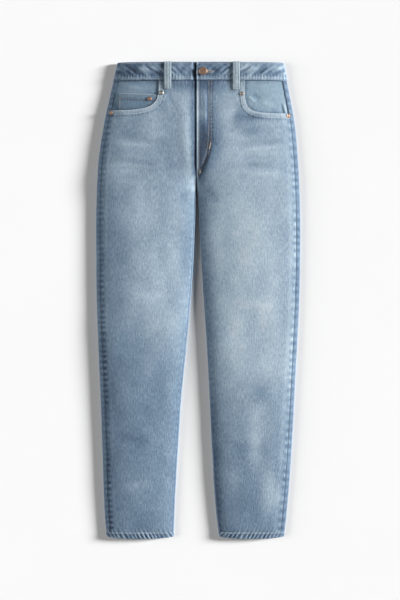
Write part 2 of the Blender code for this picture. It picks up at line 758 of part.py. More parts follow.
def make_zip():
    """The zip's tape, hidden under the fly overlap."""
    below = 2.0 * CLOTH + 2.0 * LAYER_GAP + 0.2
    rows = []
    for down in (47.0, 80.0, 115.0, 150.0, 185.0):
        rows.append([(x, down) for x in np.linspace(CENTRE_X - 12.0, CENTRE_X + 18.0, 5)])
    points = []
    normals = []
    for row in rows:
        normals.append([(0.0, 0.0, 1.0) for _ in row])
        points.append([place(x, d, top_height("left", x, d) - below) for x, d in row])
    wall("zip", np.array(points), np.array(normals), 1.0, "denim_facing")


def turned(name, profile, segments, centre, normal, colour):
    """A piece turned on its own axis, set on a point and tilted to its normal."""
    vertices = [(0.0, 0.0, profile[0][1])]
    for radius, z in profile[1:-1]:
        for angle in np.linspace(0.0, 2.0 * math.pi, segments, endpoint=False):
            vertices.append((radius * math.cos(angle), radius * math.sin(angle), z))
    vertices.append((0.0, 0.0, profile[-1][1]))
    top = len(vertices) - 1
    rings = len(profile) - 2
    faces = []
    for s in range(segments):
        n = (s + 1) % segments
        faces.append((0, 1 + n, 1 + s))
        last = 1 + (rings - 1) * segments
        faces.append((last + s, last + n, top))
        for ring in range(rings - 1):
            low = 1 + ring * segments
            high = low + segments
            faces.append((low + s, low + n, high + n, high + s))
    created = mesh_object(name, vertices, faces, colour)
    x, y, z = centre
    created.location = (x * MM, y * MM, z * MM)
    created.rotation_euler = (-math.asin(normal[1]), math.atan2(normal[0], normal[2]), 0.0)
    return created


def on_front(side, x, down, raised):
    """A point above the front's outer face, with the face's normal."""
    normal = front_normal(side, x, down, top_height)
    base = np.array(place(x, down, top_height(side, x, down)))
    return base + raised * normal, normal


def make_button():
    """The shank button: a short stem under a low domed cap."""
    profile = ((0.0, 0.0), (4.6, 0.0), (4.6, 1.5), (8.2, 1.7), (8.6, 2.5), (8.0, 3.4),
               (5.8, 3.9), (5.0, 3.5), (2.4, 3.7), (0.0, 3.9))
    centre, normal = on_front("left", 10.0, 20.0, WAISTBAND_PROUD + 0.35)
    turned("button", profile, 24, centre, normal, "brass")


def make_rivets():
    """Small rivets at the ends of the pocket mouths and on the coin pocket."""
    profile = ((0.0, 0.0), (4.4, 0.0), (4.4, 0.7), (3.6, 1.4), (2.4, 1.1), (1.3, 1.5), (0.0, 1.7))
    places = (
        ("rivet_right_inner", "right", -77.0, 65.0, 0.4, "steel"),
        ("rivet_left_inner", "left", 91.5, 67.0, 0.4, "steel"),
        ("rivet_right_outer", "right", -183.0, 106.5, 0.4, "brass"),
        ("rivet_left_outer", "left", 189.5, 112.5, 0.4, "brass"),
        ("rivet_coin_pocket", "right", -101.5, 77.5, 0.2, "brass"),
    )
    for name, side, x, down, raised, colour in places:
        centre, normal = on_front(side, x, down, raised)
        turned(name, profile, 14, centre, normal, colour)


for old in list(bpy.data.objects):
    bpy.data.objects.remove(old, do_unlink=True)
make_fronts()
make_backs()
make_waistband()
make_hems()
make_facings()
make_coin_pocket()
make_back_pockets()
make_belt_loops()
make_zip()
make_button()
make_rivets()
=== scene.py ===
import math

import bpy
import numpy as np
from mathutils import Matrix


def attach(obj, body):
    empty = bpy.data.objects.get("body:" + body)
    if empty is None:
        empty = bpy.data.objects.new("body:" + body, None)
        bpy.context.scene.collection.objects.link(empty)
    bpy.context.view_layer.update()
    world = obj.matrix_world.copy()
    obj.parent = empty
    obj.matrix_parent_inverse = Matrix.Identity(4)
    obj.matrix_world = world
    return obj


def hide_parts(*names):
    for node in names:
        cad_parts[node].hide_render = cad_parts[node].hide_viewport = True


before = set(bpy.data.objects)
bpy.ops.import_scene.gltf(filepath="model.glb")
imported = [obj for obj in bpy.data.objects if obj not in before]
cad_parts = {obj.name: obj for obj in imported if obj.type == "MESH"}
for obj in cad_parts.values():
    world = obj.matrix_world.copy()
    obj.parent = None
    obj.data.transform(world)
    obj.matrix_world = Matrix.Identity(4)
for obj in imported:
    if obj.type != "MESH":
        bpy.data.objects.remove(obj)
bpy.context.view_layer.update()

mm = 0.001
up = (0.0, 0.0, 1.0)
below = (0.0, 0.0, -1.0)
sides = {"right": -1.0, "left": 1.0}  # the sign of x on each side
jeans = {
    "length": 1000.0,
    "cloth": 1.2,
    "seamGap": 0.4,
    "layerGap": 0.45,
    "centreX": -3.5,
    "crotch": 257.0,
    "hipLine": 205.0,
    "hipGather": 402.0,
    "outseamInset": 9.0,
    "inseamInset": 3.0,
    "sideHeight": 3.5,
    "sideRound": 4.5,
    "edgeMargin": 1.0,
    "underlap": 14.0,
    "yokeSide": 82.0,
    "yokeCentre": 118.0,
    "seatLift": 1.75,
    "bandLift": 2.75,
}
band = {
    "height": 39.0,
    "wall": 2.6,
    "proud": 0.8,
    "underlap": 34.0,
    "gather": 16.0,
    "dipStart": 13.0,
    "dipRun": 12.0,
    "rows": (3.2, 35.8),
}
hem = {"height": 14.0, "wall": 2.4, "proud": 0.6, "bow": 4.0, "row": 988.2, "clear": 0.02}
rope = {"pitch": 8.6, "slant": 0.55, "seed": 15}  # the hem's roping, which runs on into the leg
pocketEdge = {"width": 10.0, "raised": 0.55, "rows": (1.7, 8.3), "pitch": 5.5}

# The outline: x of each edge and height of the front, at rows below the waist
outlineColumns = ("down", "right_outer", "right_inner", "left_inner", "left_outer", "crown")
outlineTable = np.array((
    (0.0, -169.0, -3.5, -3.5, 179.5, 19.0),
    (20.0, -173.8, -3.5, -3.5, 183.2, 19.5),
    (58.0, -182.4, -3.5, -3.5, 190.0, 20.5),
    (121.0, -196.6, -3.5, -3.5, 201.6, 22.5),
    (205.0, -209.3, -3.5, -3.5, 209.6, 23.0),
    (257.0, -212.6, -3.5, -3.5, 212.6, 21.5),
    (289.0, -213.8, -4.6, -0.4, 213.8, 20.0),
    (341.0, -214.6, -6.4, 1.9, 214.6, 19.0),
    (394.0, -214.7, -8.6, 4.9, 214.6, 18.5),
    (446.0, -214.4, -11.6, 8.2, 213.8, 18.0),
    (499.0, -213.5, -15.9, 11.4, 212.4, 18.0),
    (604.0, -209.6, -25.2, 18.6, 207.4, 18.5),
    (709.0, -205.2, -35.6, 23.8, 202.0, 17.5),
    (814.0, -201.4, -42.4, 28.6, 196.2, 16.0),
    (919.0, -198.0, -48.6, 35.2, 188.4, 14.5),
    (971.0, -194.8, -50.6, 40.4, 183.4, 13.5),
    (1000.0, -191.4, -51.8, 44.6, 179.6, 13.0),
))
mouths = {
    "right": {"innerX": -82.4, "outerDown": 101.0, "squareness": 4.0},
    "left": {"innerX": 97.3, "outerDown": 108.0, "squareness": 5.0},
}

# Ridges and troughs along straight runs: start x, start down, end x, end down, half width, height
folds = (
    (26.0, 176.0, 2.0, 240.0, 7.0, -1.5),
    (16.0, 60.0, 14.0, 170.0, 6.0, 0.8),
    (-28.0, 70.0, -24.0, 230.0, 16.0, 1.3),
    (-60.0, 214.0, -185.0, 190.0, 13.0, 1.0),
    (-70.0, 176.0, -190.0, 158.0, 11.0, -0.8),
    (60.0, 216.0, 190.0, 196.0, 13.0, 1.0),
    (70.0, 180.0, 192.0, 166.0, 11.0, -0.8),
    (-120.0, 320.0, -122.0, 560.0, 40.0, 1.2),
    (118.0, 300.0, 122.0, 560.0, 42.0, 1.4),
    (-60.0, 560.0, -170.0, 620.0, 18.0, -1.1),
    (40.0, 580.0, 160.0, 560.0, 18.0, -1.1),
    (-80.0, 700.0, -180.0, 740.0, 16.0, 0.9),
    (60.0, 720.0, 170.0, 690.0, 16.0, 0.9),
)
creases = (
    (13.5, 44.0, 14.5, 150.0, 3.2, 0.75),
    (20.0, 44.0, 19.0, 150.0, 2.6, -0.5),
    (8.0, 52.0, 8.5, 140.0, 2.2, 0.35),
    (-34.0, 60.0, -30.0, 200.0, 9.0, 0.45),
    (-16.0, 46.0, -15.0, 235.0, 6.0, -0.5),
    (-72.0, 60.0, -46.0, 96.0, 3.2, -0.45),
    (-80.0, 84.0, -58.0, 64.0, 3.0, 0.35),
    (60.0, 66.0, 84.0, 58.0, 4.0, -0.4),
    (46.0, 150.0, 120.0, 172.0, 7.0, 0.45),
    (96.0, 214.0, 176.0, 226.0, 8.0, -0.4),
    (-100.0, 196.0, -180.0, 188.0, 7.0, -0.35),
    (-60.0, 150.0, -110.0, 166.0, 8.0, 0.4),
    (10.0, 262.0, 46.0, 300.0, 9.0, -0.5),
    (-14.0, 262.0, -40.0, 292.0, 8.0, -0.35),
    (-150.0, 505.0, -60.0, 486.0, 12.0, 0.35),
    (70.0, 500.0, 170.0, 520.0, 12.0, 0.35),
    (-190.0, 780.0, -90.0, 800.0, 10.0, -0.4),
    (60.0, 800.0, 150.0, 820.0, 10.0, -0.35),
    (-170.0, 900.0, -90.0, 880.0, 12.0, 0.35),
    (24.0, 186.0, 4.0, 236.0, 2.6, -0.9),
    (90.0, 186.0, 184.0, 178.0, 4.5, 0.4),
    (84.0, 200.0, 176.0, 204.0, 4.5, -0.35),
    (-84.0, 178.0, -176.0, 170.0, 4.5, 0.4),
    (-88.0, 222.0, -184.0, 214.0, 5.0, 0.35),
    (96.0, 238.0, 180.0, 232.0, 5.5, 0.35),
)


def ease(value):
    # 0 below 0, 1 above 1 and a smooth S between: t squared times 3 less 2t
    t = np.clip(value, 0.0, 1.0)
    return t * t * (3.0 - 2.0 * t)


def bell(value):
    # 1 at 0, falling off both ways: e to the minus value squared
    return np.exp(-value * value)


def lumps(x, y, seed):
    # Smooth noise from -1 to 1: random numbers on a grid of unit cells, eased from one to the next
    table = np.random.default_rng(seed).uniform(-1.0, 1.0, (64, 64))
    x, y = np.broadcast_arrays(np.asarray(x, float), np.asarray(y, float))
    column = np.floor(x).astype(int)
    row = np.floor(y).astype(int)
    across = ease(x - column)
    beyond = ease(y - row)
    near = table[column % 64, row % 64] * (1.0 - across) + table[(column + 1) % 64, row % 64] * across
    far = table[column % 64, (row + 1) % 64] * (1.0 - across)
    far = far + table[(column + 1) % 64, (row + 1) % 64] * across
    return near * (1.0 - beyond) + far * beyond


def puckers(along, pitch, seed):
    # An uneven row of bumps: the cosine of distance over pitch, its phase and size wandering
    phase = 2.4 * lumps(along / (2.6 * pitch), 0.5, seed)
    size = 0.75 + 0.5 * lumps(along / (1.9 * pitch), 7.5, seed)
    return size * np.cos(2.0 * math.pi * along / pitch + phase)


def outline(name, down):
    # One column of the outline table, on a smooth cubic through its rows
    downs = outlineTable[:, 0]
    values = outlineTable[:, outlineColumns.index(name)]
    slopes = np.gradient(values, downs)
    down = np.clip(down, downs[0], downs[-1])
    row = np.clip(np.searchsorted(downs, down, side="right") - 1, 0, len(downs) - 2)
    step = downs[row + 1] - downs[row]
    t = (down - downs[row]) / step
    start = (1.0 + 2.0 * t) * (1.0 - t) ** 2 * values[row] + t * (1.0 - t) ** 2 * step * slopes[row]
    end = t * t * (3.0 - 2.0 * t) * values[row + 1] + t * t * (t - 1.0) * step * slopes[row + 1]
    return start + end


def outerEdge(side, down):
    # The fold at the garment's side
    return outline(side + "_outer", down)


def innerEdge(side, down):
    # The inner leg edge, or the centre line above the crotch
    halfGap = sides[side] * 0.5 * jeans["seamGap"]
    return np.where(down <= jeans["crotch"], jeans["centreX"], outline(side + "_inner", down)) + halfGap


def lift(down):
    # Height of the back above the floor: it lies on loops, back pockets, legs and hems
    seat = jeans["seatLift"] * ease((332.0 - down) / 44.0)
    waist = (jeans["bandLift"] - jeans["seatLift"]) * ease((76.0 - down) / 30.0)
    return seat + waist + hem["proud"] * ease((down - 952.0) / 30.0)


def runs(table, x, down):
    # Sum of ridges: a bell across each run, eased in and out along it
    total = 0.0
    for startX, startDown, endX, endDown, halfWidth, height in table:
        runX = endX - startX
        runDown = endDown - startDown
        run = math.hypot(runX, runDown)
        part = ((x - startX) * runX + (down - startDown) * runDown) / run**2
        across = ((x - startX) * runDown - (down - startDown) * runX) / run
        total = total + height * ease(part / 0.3) * ease((1.0 - part) / 0.3) * bell(across / halfWidth)
    return total


def topHeight(side, x, down):
    # Height of the front: each leg is a flattened tube, and above the crotch the two melt into one
    outer = outerEdge(side, down) + sides[side] * jeans["edgeMargin"]
    inner = innerEdge(side, down) - sides[side] * jeans["edgeMargin"]
    across = (x - inner) / (outer - inner)
    leg = np.maximum(0.0, 1.0 - np.minimum(np.abs(2.0 * across - 1.0), 1.0) ** 2.5) ** 0.5
    hip = np.maximum(0.0, 1.0 - np.clip(across, 0.0, 1.0) ** 3.4) ** 0.5
    melt = ease((jeans["crotch"] + 3.0 - down) / 55.0)
    crown = outline("crown", down) - jeans["sideHeight"]
    away = ease(np.minimum(across, 1.0 - across) / 0.08 + np.where(across < 0.5, melt, 0.0))
    return jeans["sideHeight"] + crown * ((1.0 - melt) * leg + melt * hip) + away * runs(folds, x, down)


def outseamX(side, down):
    # The outseam lies on the front, a set inset from the side fold
    return outerEdge(side, down) - sides[side] * jeans["outseamInset"]


def inseamX(side, down):
    # The inseam lies just over the inner fold and starts from the crotch point
    return innerEdge(side, down) + sides[side] * jeans["inseamInset"] * ease((down - jeans["crotch"]) / 24.0)


def dip(side, x, down):
    # How far the right front drops to pass under the fly
    if side == "left":
        return 0.0 * x
    depth = (jeans["cloth"] + jeans["layerGap"]) * ease((236.0 - down) / 22.0)
    return depth * ease((x - (jeans["centreX"] - 8.0)) / 6.5)


def frontInnerX(side, down):
    # The front's centre or inseam edge; the right one runs on under the fly
    seam = inseamX(side, down)
    halfGap = sides[side] * 0.5 * jeans["seamGap"]
    under = jeans["underlap"] * ease((212.0 - down) / 16.0) if side == "right" else 0.0
    return np.where(down > jeans["crotch"], seam + halfGap, seam - sides[side] * under)


def alongLine(points):
    # Distance of each point from the first, along the line: the sum of its steps
    return np.concatenate(([0.0], np.cumsum(np.linalg.norm(np.diff(points, axis=0), axis=1))))


def atDistances(points, lengths, wanted):
    # The line's points at the wanted distances
    return np.stack([np.interp(wanted, lengths, column) for column in points.T], axis=1)


def evenly(points, count):
    # The same curve with its points at even distances
    lengths = alongLine(points)
    return atDistances(points, lengths, np.linspace(0.0, lengths[-1], count))


def mouthCurve(side, count, outset=0.0, fromDown=band["height"]):
    # A pocket mouth as x and down: a quarter of a squared ellipse, moved out from the opening
    mouth = mouths[side]
    startX = outseamX(side, mouth["outerDown"]) - sides[side] * 0.5 * jeans["seamGap"]
    reach = abs(mouth["innerX"] - startX) + outset
    depth = mouth["outerDown"] - band["height"] + outset
    power = 2.0 / mouth["squareness"]
    angle = np.linspace(0.0, 0.5 * math.pi, 600)
    x = startX - sides[side] * reach * np.sin(angle) ** power
    down = band["height"] + depth * np.maximum(0.0, np.cos(angle)) ** power
    keep = down >= fromDown
    return evenly(np.stack((x[keep], down[keep]), axis=1), count)


mouthLines = {side: mouthCurve(side, 240) for side in sides}


def fromCurve(curve, x, down):
    # Distance from a curve, and how far along it the nearest point is
    x, down = np.broadcast_arrays(x, down)
    lengths = alongLine(curve)
    nearest = np.full(x.shape, 1.0e6)
    along = np.zeros(x.shape)
    for point, length in zip(curve, lengths):
        squared = (x - point[0]) ** 2 + (down - point[1]) ** 2
        closer = squared < nearest
        nearest = np.where(closer, squared, nearest)
        along = np.where(closer, length, along)
    return np.sqrt(nearest), along


flyLine = evenly(np.array((
    (28.0, 40.0), (28.0, 120.0), (27.6, 150.0), (25.6, 176.0), (20.6, 198.0), (12.0, 218.0), (2.5, 236.0),
)), 160)


def pocketWear(side, x, down):
    # The doubled edge round a pocket mouth: a raised strip with two sewn rows and puckers between
    away, along = fromCurve(mouthLines[side], x, down)
    strip = 1.0 - ease((away - pocketEdge["width"] + 0.7) / 1.6)
    rise = pocketEdge["raised"] * strip
    for row in pocketEdge["rows"]:
        rise = rise - 0.3 * bell((away - row) / 0.9)
    rise = rise + 0.32 * bell((away - 5.2) / 3.2) * puckers(along, pocketEdge["pitch"], 31)
    rise = rise + 0.3 * bell((away - 12.0) / 3.0) * puckers(along, 1.4 * pocketEdge["pitch"], 33)
    return rise


# Roping along the outseam: pitch and seed of the puckers on each side
outseamRope = {"right": (12.0, 12), "left": (17.0, 11)}


def seamPuckers(side, down):
    # Puckers along the outseam
    return puckers(down, *outseamRope[side])


def ropes(side, x, down):
    # The hem's roping: puckers that slant, along x plus slant times down
    return puckers(x + rope["slant"] * down * sides[side], rope["pitch"], rope["seed"])


def frontRelief(side, x, down):
    # What the wash and the sewing raise or sink on a front panel
    rise = 0.45 * lumps(x / 70.0, down / 110.0, 3) + 0.22 * lumps(x / 26.0, down / 46.0, 4)
    rise = rise + runs(creases, x, down)
    fromOut = np.abs(outseamX(side, down) - x)
    rise = rise + bell((fromOut - 3.5) / 4.0) * 0.5 * seamPuckers(side, down) - 0.3 * bell(fromOut / 1.6)
    fromIn = np.abs(x - inseamX(side, down))
    legs = ease((down - 262.0) / 20.0)
    inseam = bell((fromIn - 3.0) / 4.0) * 0.25 * puckers(down, 14.0, 14) - 0.2 * bell(fromIn / 1.5)
    rise = rise + legs * inseam
    nearHem = ease((down - 966.0) / 20.0)
    rise = rise + 0.42 * nearHem * nearHem * ropes(side, x, down)
    belowBand = bell((down - band["height"]) / 12.0)
    rise = rise + 0.35 * belowBand * puckers(x, 8.0, 16) - 0.3 * bell((down - band["height"]) / 2.2)
    rise = rise + pocketWear(side, x, down) * (down < mouths[side]["outerDown"] + 16.0)
    if side == "left":
        upper = ease((252.0 - down) / 14.0)
        rise = rise + upper * (0.9 * bell((x + 1.7) / 1.7) - 0.4 * bell((x - 1.6) / 1.2))
        rise = rise + upper * 0.22 * bell((x - 4.5) / 3.0) * puckers(down, 7.0, 18)
        fromFly, alongFly = fromCurve(flyLine, x, down)
        rise = rise + 0.5 * bell(fromFly / 4.2) * puckers(alongFly, 7.5, 19) - 0.35 * bell(fromFly / 1.8)
    return rise


def frontHeight(side, x, down):
    # The front's face with all its relief
    return topHeight(side, x, down) - dip(side, x, down) + frontRelief(side, x, down)


def bandRelief(x, down):
    # The waistband's face: slanted drag puckers, short upright ones at its lower seam, two sewn rows
    middle = bell((down - 18.0) / 11.0)
    slant = np.where(x < jeans["centreX"], -1.0, 1.0)
    drag = x * slant + 1.2 * down
    rise = 0.95 * middle * lumps(drag / 7.5, (down - 0.3 * x * slant) / 19.0, 21)
    rise = rise + 0.45 * middle * lumps((x * slant - 0.7 * down) / 11.0, down / 14.0, 22)
    rise = rise + 0.22 * middle * puckers(drag, 14.0, 26)
    rise = rise + 0.42 * bell((down - 31.0) / 5.0) * puckers(x, 6.4, 23)
    rise = rise + 0.3 * bell((down - 6.5) / 4.0) * lumps(x / 5.0, down / 9.0, 24)
    upperRow, lowerRow = band["rows"]
    rise = rise - 0.3 * bell((down - upperRow) / 1.1) - 0.32 * bell((down - lowerRow) / 1.1)
    rise = rise + 0.15 * lumps(x / 9.0, down / 9.0, 25)
    return rise


def hemRelief(side, x, down):
    # Roping of the turned hem: slanted ridges, and one sewn row near its top
    rise = 0.6 * ropes(side, x, down) * bell((down - 994.0) / 9.0)
    rise = rise + 0.16 * lumps(x / 5.0, down / 6.0, 27)
    return rise - 0.35 * bell((down - hem["row"]) / 1.0)


def place(x, down, z):
    # Points at x, half the length less down, and z
    x, down, z = np.broadcast_arrays(x, down, z)
    return np.stack((x, 0.5 * jeans["length"] - down, z), axis=-1)


def gridNormals(points, closed=False):
    # Unit normals of a grid, from the cross product of its central differences
    if closed:
        along = np.roll(points, -1, axis=1) - np.roll(points, 1, axis=1)
    else:
        along = np.gradient(points, axis=1)
    normals = np.cross(along, np.gradient(points, axis=0))
    return normals / np.maximum(np.linalg.norm(normals, axis=2), 1.0e-9)[:, :, None]


def faced(normals, sign, row, column):
    # The same normals, turned round where the named one's z hasn't the wanted sign
    return normals if sign * normals[row, column, 2] >= 0.0 else -normals


def gridFaces(rows, columns, closed):
    # Four corners of each cell of a grid whose points are numbered row by row
    r = np.arange(rows - 1)[:, None]
    c = np.arange(columns if closed else columns - 1)[None, :]
    a = r * columns + c
    b = r * columns + (c + 1) % columns
    return np.stack((a, b, b + columns, a + columns), axis=-1).reshape(-1, 4)


def finishMesh(name, vertices, faceGroups, materialName, smoothAngle=50.0):
    # A mesh in metres from millimetre points. Its faces are turned outwards by the sign of its volume,
    # the sum of each corner's dot product with the cross product of the next two
    volume = 0.0
    for faces in faceGroups:
        a, b, c, d = (vertices[faces[:, corner]] for corner in (0, 1, 2, -1))
        volume += np.sum(a * np.cross(b, c)) + np.sum(a * np.cross(c, d))
    turn = -1 if volume < 0.0 else 1
    allFaces = [face for faces in faceGroups for face in faces[:, ::turn].tolist()]
    mesh = bpy.data.meshes.new(name)
    mesh.from_pydata((vertices * mm).tolist(), [], allFaces)
    mesh.update()
    mesh.shade_smooth()
    mesh.set_sharp_from_angle(angle=math.radians(smoothAngle))
    mesh.materials.append(materials[materialName])
    created = bpy.data.objects.new(name, mesh)
    bpy.context.scene.collection.objects.link(created)
    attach(created, "root")
    return created


def setCloth(created, fadeAndShade, u, v):
    # Per point: how faded the dye is, with painted shade added in, and the place on the cloth in metres
    mesh = created.data
    mesh.attributes.new("fadeAndShade", "FLOAT", "POINT").data.foreach_set("value", np.asarray(fadeAndShade, float).ravel())
    layer = mesh.uv_layers.new(name="cloth")
    corners = np.zeros(len(mesh.loops), int)
    mesh.loops.foreach_get("vertex_index", corners)
    flat = np.stack((np.ravel(u), np.ravel(v)), axis=1) * mm
    layer.data.foreach_set("uv", flat[corners].ravel())


def shell(name, outer, normals, wall, fadeAndShade, u, v, materialName, closed=False, soften=0.0, edges=None):
    # A wall of cloth: the outer grid, the same grid moved in along its normals, and the edges between.
    # soften rounds the rim: both faces close in over that distance from the edge.
    rows, columns = outer.shape[:2]
    inner = outer - wall * normals
    if soften > 0.0 and edges is not None:
        near = np.clip(edges / soften, 0.0, 1.0)
        close = 0.42 * wall * (1.0 - np.sqrt(np.maximum(0.0, 1.0 - (1.0 - near) ** 2)))
        outer = outer - close[:, :, None] * normals
        inner = inner + close[:, :, None] * normals
    size = rows * columns
    face = gridFaces(rows, columns, closed)
    parts = [face, face[:, ::-1] + size]
    index = np.arange(size).reshape(rows, columns)
    if closed:
        for ring, turn in ((index[0], 1), (index[-1], -1)):
            after = np.roll(ring, -1)
            strip = np.stack((ring, ring + size, after + size, after), axis=1)
            parts.append(strip[:, ::turn])
    else:
        ring = np.concatenate((index[0], index[1:, -1], index[-1, -2::-1], index[-2:0:-1, 0]))
        after = np.roll(ring, -1)
        parts.append(np.stack((ring, ring + size, after + size, after), axis=1))
    vertices = np.concatenate((outer.reshape(-1, 3), inner.reshape(-1, 3)))
    created = finishMesh(name, vertices, (np.concatenate(parts),), materialName)
    # The inner face gets three quarters of the outer value: painted shade inside the garment
    fadeAndInnerShade = np.concatenate((np.ravel(fadeAndShade), 0.75 * np.ravel(fadeAndShade)))
    setCloth(created, fadeAndInnerShade, np.tile(np.ravel(u), 2), np.tile(np.ravel(v), 2))
    return created


def clothPiece(name, node, outer, normals, fadeAndShade, u, v, materialName, flat, restsOn, wall=jeans["cloth"],
               limits=(0.05, 0.95), **rim):
    # A shell that stands for a solid, which it hides
    # flat, the flat piece it was cut as, is not used
    piece = shell(name, outer, normals, wall, np.clip(fadeAndShade, *limits), u, v, materialName, **rim)
    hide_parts(node)


def linear(red, green, blue, strength=1.0):
    # sRGB numbers from 0 to 255 as a linear colour
    values = np.array((red, green, blue)) / 255.0
    values = np.where(values <= 0.04045, values / 12.92, ((values + 0.055) / 1.055) ** 2.4)
    return (*(float(value) * strength for value in values), 1.0)


class Finish:
    # A material and short ways to add and join its nodes
    def __init__(self, name, roughness, metallic=0.0, sheen=0.0):
        self.material = bpy.data.materials.new(name)
        self.material.use_nodes = True
        self.tree = self.material.node_tree
        self.shader = self.tree.nodes["Principled BSDF"]
        self.shader.inputs["Roughness"].default_value = roughness
        self.shader.inputs["Metallic"].default_value = metallic
        self.shader.inputs["Sheen Weight"].default_value = sheen
        self.shader.inputs["Sheen Roughness"].default_value = 0.5
        materials[name] = self.material

    def add(self, kind, **settings):
        node = self.tree.nodes.new("ShaderNode" + kind)
        for key, value in settings.items():
            setattr(node, key, value)
        return node

    def join(self, start, end):
        self.tree.links.new(start, end)

    def math(self, operation, first, second):
        node = self.add("Math", operation=operation)
        for socket, value in ((node.inputs[0], first), (node.inputs[1], second)):
            if isinstance(value, float):
                socket.default_value = value
            else:
                self.join(value, socket)
        return node.outputs[0]

    def noise(self, source, scales, detail=3.0, roughness=0.6):
        stretch = self.add("Mapping")
        stretch.inputs["Scale"].default_value = scales
        self.join(source, stretch.inputs["Vector"])
        node = self.add("TexNoise")
        node.inputs["Scale"].default_value = 1.0
        node.inputs["Detail"].default_value = detail
        node.inputs["Roughness"].default_value = roughness
        self.join(stretch.outputs[0], node.inputs["Vector"])
        return node.outputs["Fac"]

    def ramp(self, source, stops):
        node = self.add("ValToRGB")
        node.color_ramp.elements[0].position = stops[0][0]
        node.color_ramp.elements[0].color = stops[0][1]
        node.color_ramp.elements[1].position = stops[-1][0]
        node.color_ramp.elements[1].color = stops[-1][1]
        for position, colour in stops[1:-1]:
            node.color_ramp.elements.new(position).color = colour
        self.join(source, node.inputs[0])
        return node.outputs[0]

    def bump(self, height, strength, distance):
        node = self.add("Bump")
        node.inputs["Strength"].default_value = strength
        node.inputs["Distance"].default_value = distance
        self.join(height, node.inputs["Height"])
        self.join(node.outputs[0], self.shader.inputs["Normal"])


materials = {}
dye = {
    "strength": 0.84,
    "stops": (
        (0.0, (32, 49, 72)),
        (0.25, (70, 94, 120)),
        (0.5, (114, 137, 158)),
        (0.75, (159, 178, 193)),
        (1.0, (200, 212, 219)),
    ),
    "streak": {"scales": (430.0, 85.0, 1.0), "detail": 3.0, "roughness": 0.6, "strength": 0.46},
    "mottle": {"scales": (210.0, 150.0, 1.0), "detail": 4.0, "roughness": 0.7, "strength": 0.34},
    "cloud": {"scales": (24.0, 15.0, 1.0), "detail": 3.0, "roughness": 0.55, "strength": 0.08},
    "sheen": 0.12,
    "twill": {"pitch": 0.9, "turn": 0.6, "share": 0.35},
    "bump": {"strength": 0.55, "distance": 0.0006},
}
waveRepeat = 314.0  # a wave texture of scale 1 repeats at this many millimetres


def makeDenim(name, tint=(1.0, 1.0, 1.0), contrast=1.0, roughness=0.88):
    # Washed twill: the fade of each point with its painted shade, plus streaks along the warp, mottling
    # and soft clouds, picks a colour between dark and pale indigo; fine diagonal ribs and threads lift the
    # light
    finish = Finish(name, roughness, sheen=dye["sheen"])
    cloth = finish.add("UVMap", uv_map="cloth").outputs[0]
    fadeAndShade = finish.add("Attribute", attribute_name="fadeAndShade").outputs["Fac"]
    total = fadeAndShade
    marks = []
    for mark in (dye["streak"], dye["mottle"], dye["cloud"]):
        marks.append(finish.noise(cloth, mark["scales"], mark["detail"], mark["roughness"]))
        centred = finish.math("SUBTRACT", marks[-1], 0.5)
        total = finish.math("ADD", total, finish.math("MULTIPLY", centred, mark["strength"] * contrast))
    stops = []
    for position, colour in dye["stops"]:
        base = linear(*colour, dye["strength"])
        stops.append((position, (base[0] * tint[0], base[1] * tint[1], base[2] * tint[2], 1.0)))
    finish.join(finish.ramp(total, stops), finish.shader.inputs["Base Color"])
    turn = finish.add("Mapping")
    turn.inputs["Rotation"].default_value = (0.0, 0.0, dye["twill"]["turn"])
    turn.inputs["Scale"].default_value = (waveRepeat / dye["twill"]["pitch"],) * 3
    finish.join(cloth, turn.inputs["Vector"])
    twill = finish.add("TexWave")
    twill.inputs["Scale"].default_value = 1.0
    twill.inputs["Distortion"].default_value = 0.6
    finish.join(turn.outputs[0], twill.inputs["Vector"])
    height = finish.math("MULTIPLY", twill.outputs["Fac"], dye["twill"]["share"])
    for mark in marks[:2]:
        height = finish.math("ADD", height, mark)
    finish.bump(height, dye["bump"]["strength"], dye["bump"]["distance"])
    return finish.material


def makePlain(name, dark, light, roughness, metallic, scale, strength=1.0, bumpDistance=0.0002):
    # A plain finish that varies between two colours, with a fine grain
    finish = Finish(name, roughness, metallic)
    place = finish.add("TexCoord").outputs["Object"]
    grain = finish.noise(place, (scale, scale, scale), 4.0, 0.65)
    finish.join(
        finish.ramp(grain, ((0.3, linear(*dark, strength)), (0.7, linear(*light, strength)))),
        finish.shader.inputs["Base Color"],
    )
    finish.bump(grain, 0.4, bumpDistance)
    return finish.material


makeDenim("denim_front")
makeDenim("denim_back", contrast=0.9)
makeDenim("denim_band", contrast=1.1)
makeDenim("denim_facing", tint=(0.96, 1.0, 0.99), contrast=0.7)
makeDenim("denim_loop", tint=(1.10, 1.03, 0.94), contrast=0.8)
makePlain("zip_tape", (40, 55, 78), (60, 78, 104), 0.85, 0.0, 900.0)
makePlain("aged_brass", (116, 90, 76), (180, 146, 126), 0.42, 0.6, 500.0)
makePlain("dull_steel", (120, 112, 104), (206, 200, 190), 0.4, 1.0, 700.0)
makePlain("thread", (146, 136, 126), (194, 182, 167), 0.7, 0.0, 1500.0, 0.84)
makePlain("thread_pale", (176, 184, 192), (220, 224, 226), 0.7, 0.0, 1500.0, 0.88)
makePlain("floor", (251, 251, 251), (253, 253, 253), 0.9, 0.0, 3.0, 0.83, 0.00001)
print("finishes ready")


# The camera hangs over the jeans, in metres; tall is what it sees at the crown's height
view = {"height": 3.2, "tall": 1.26, "crown": 0.008, "sensor": 24.0, "x": 0.0037, "y": 0.00125}
scene = bpy.context.scene
scene.view_settings.view_transform = "Standard"
cameraData = bpy.data.cameras.new("camera")
cameraData.sensor_fit = "VERTICAL"
cameraData.sensor_height = view["sensor"]
cameraData.lens = view["sensor"] * (view["height"] - view["crown"]) / view["tall"]
camera = bpy.data.objects.new("camera", cameraData)
camera.location = (view["x"], view["y"], view["height"])
scene.collection.objects.link(camera)
scene.camera = camera

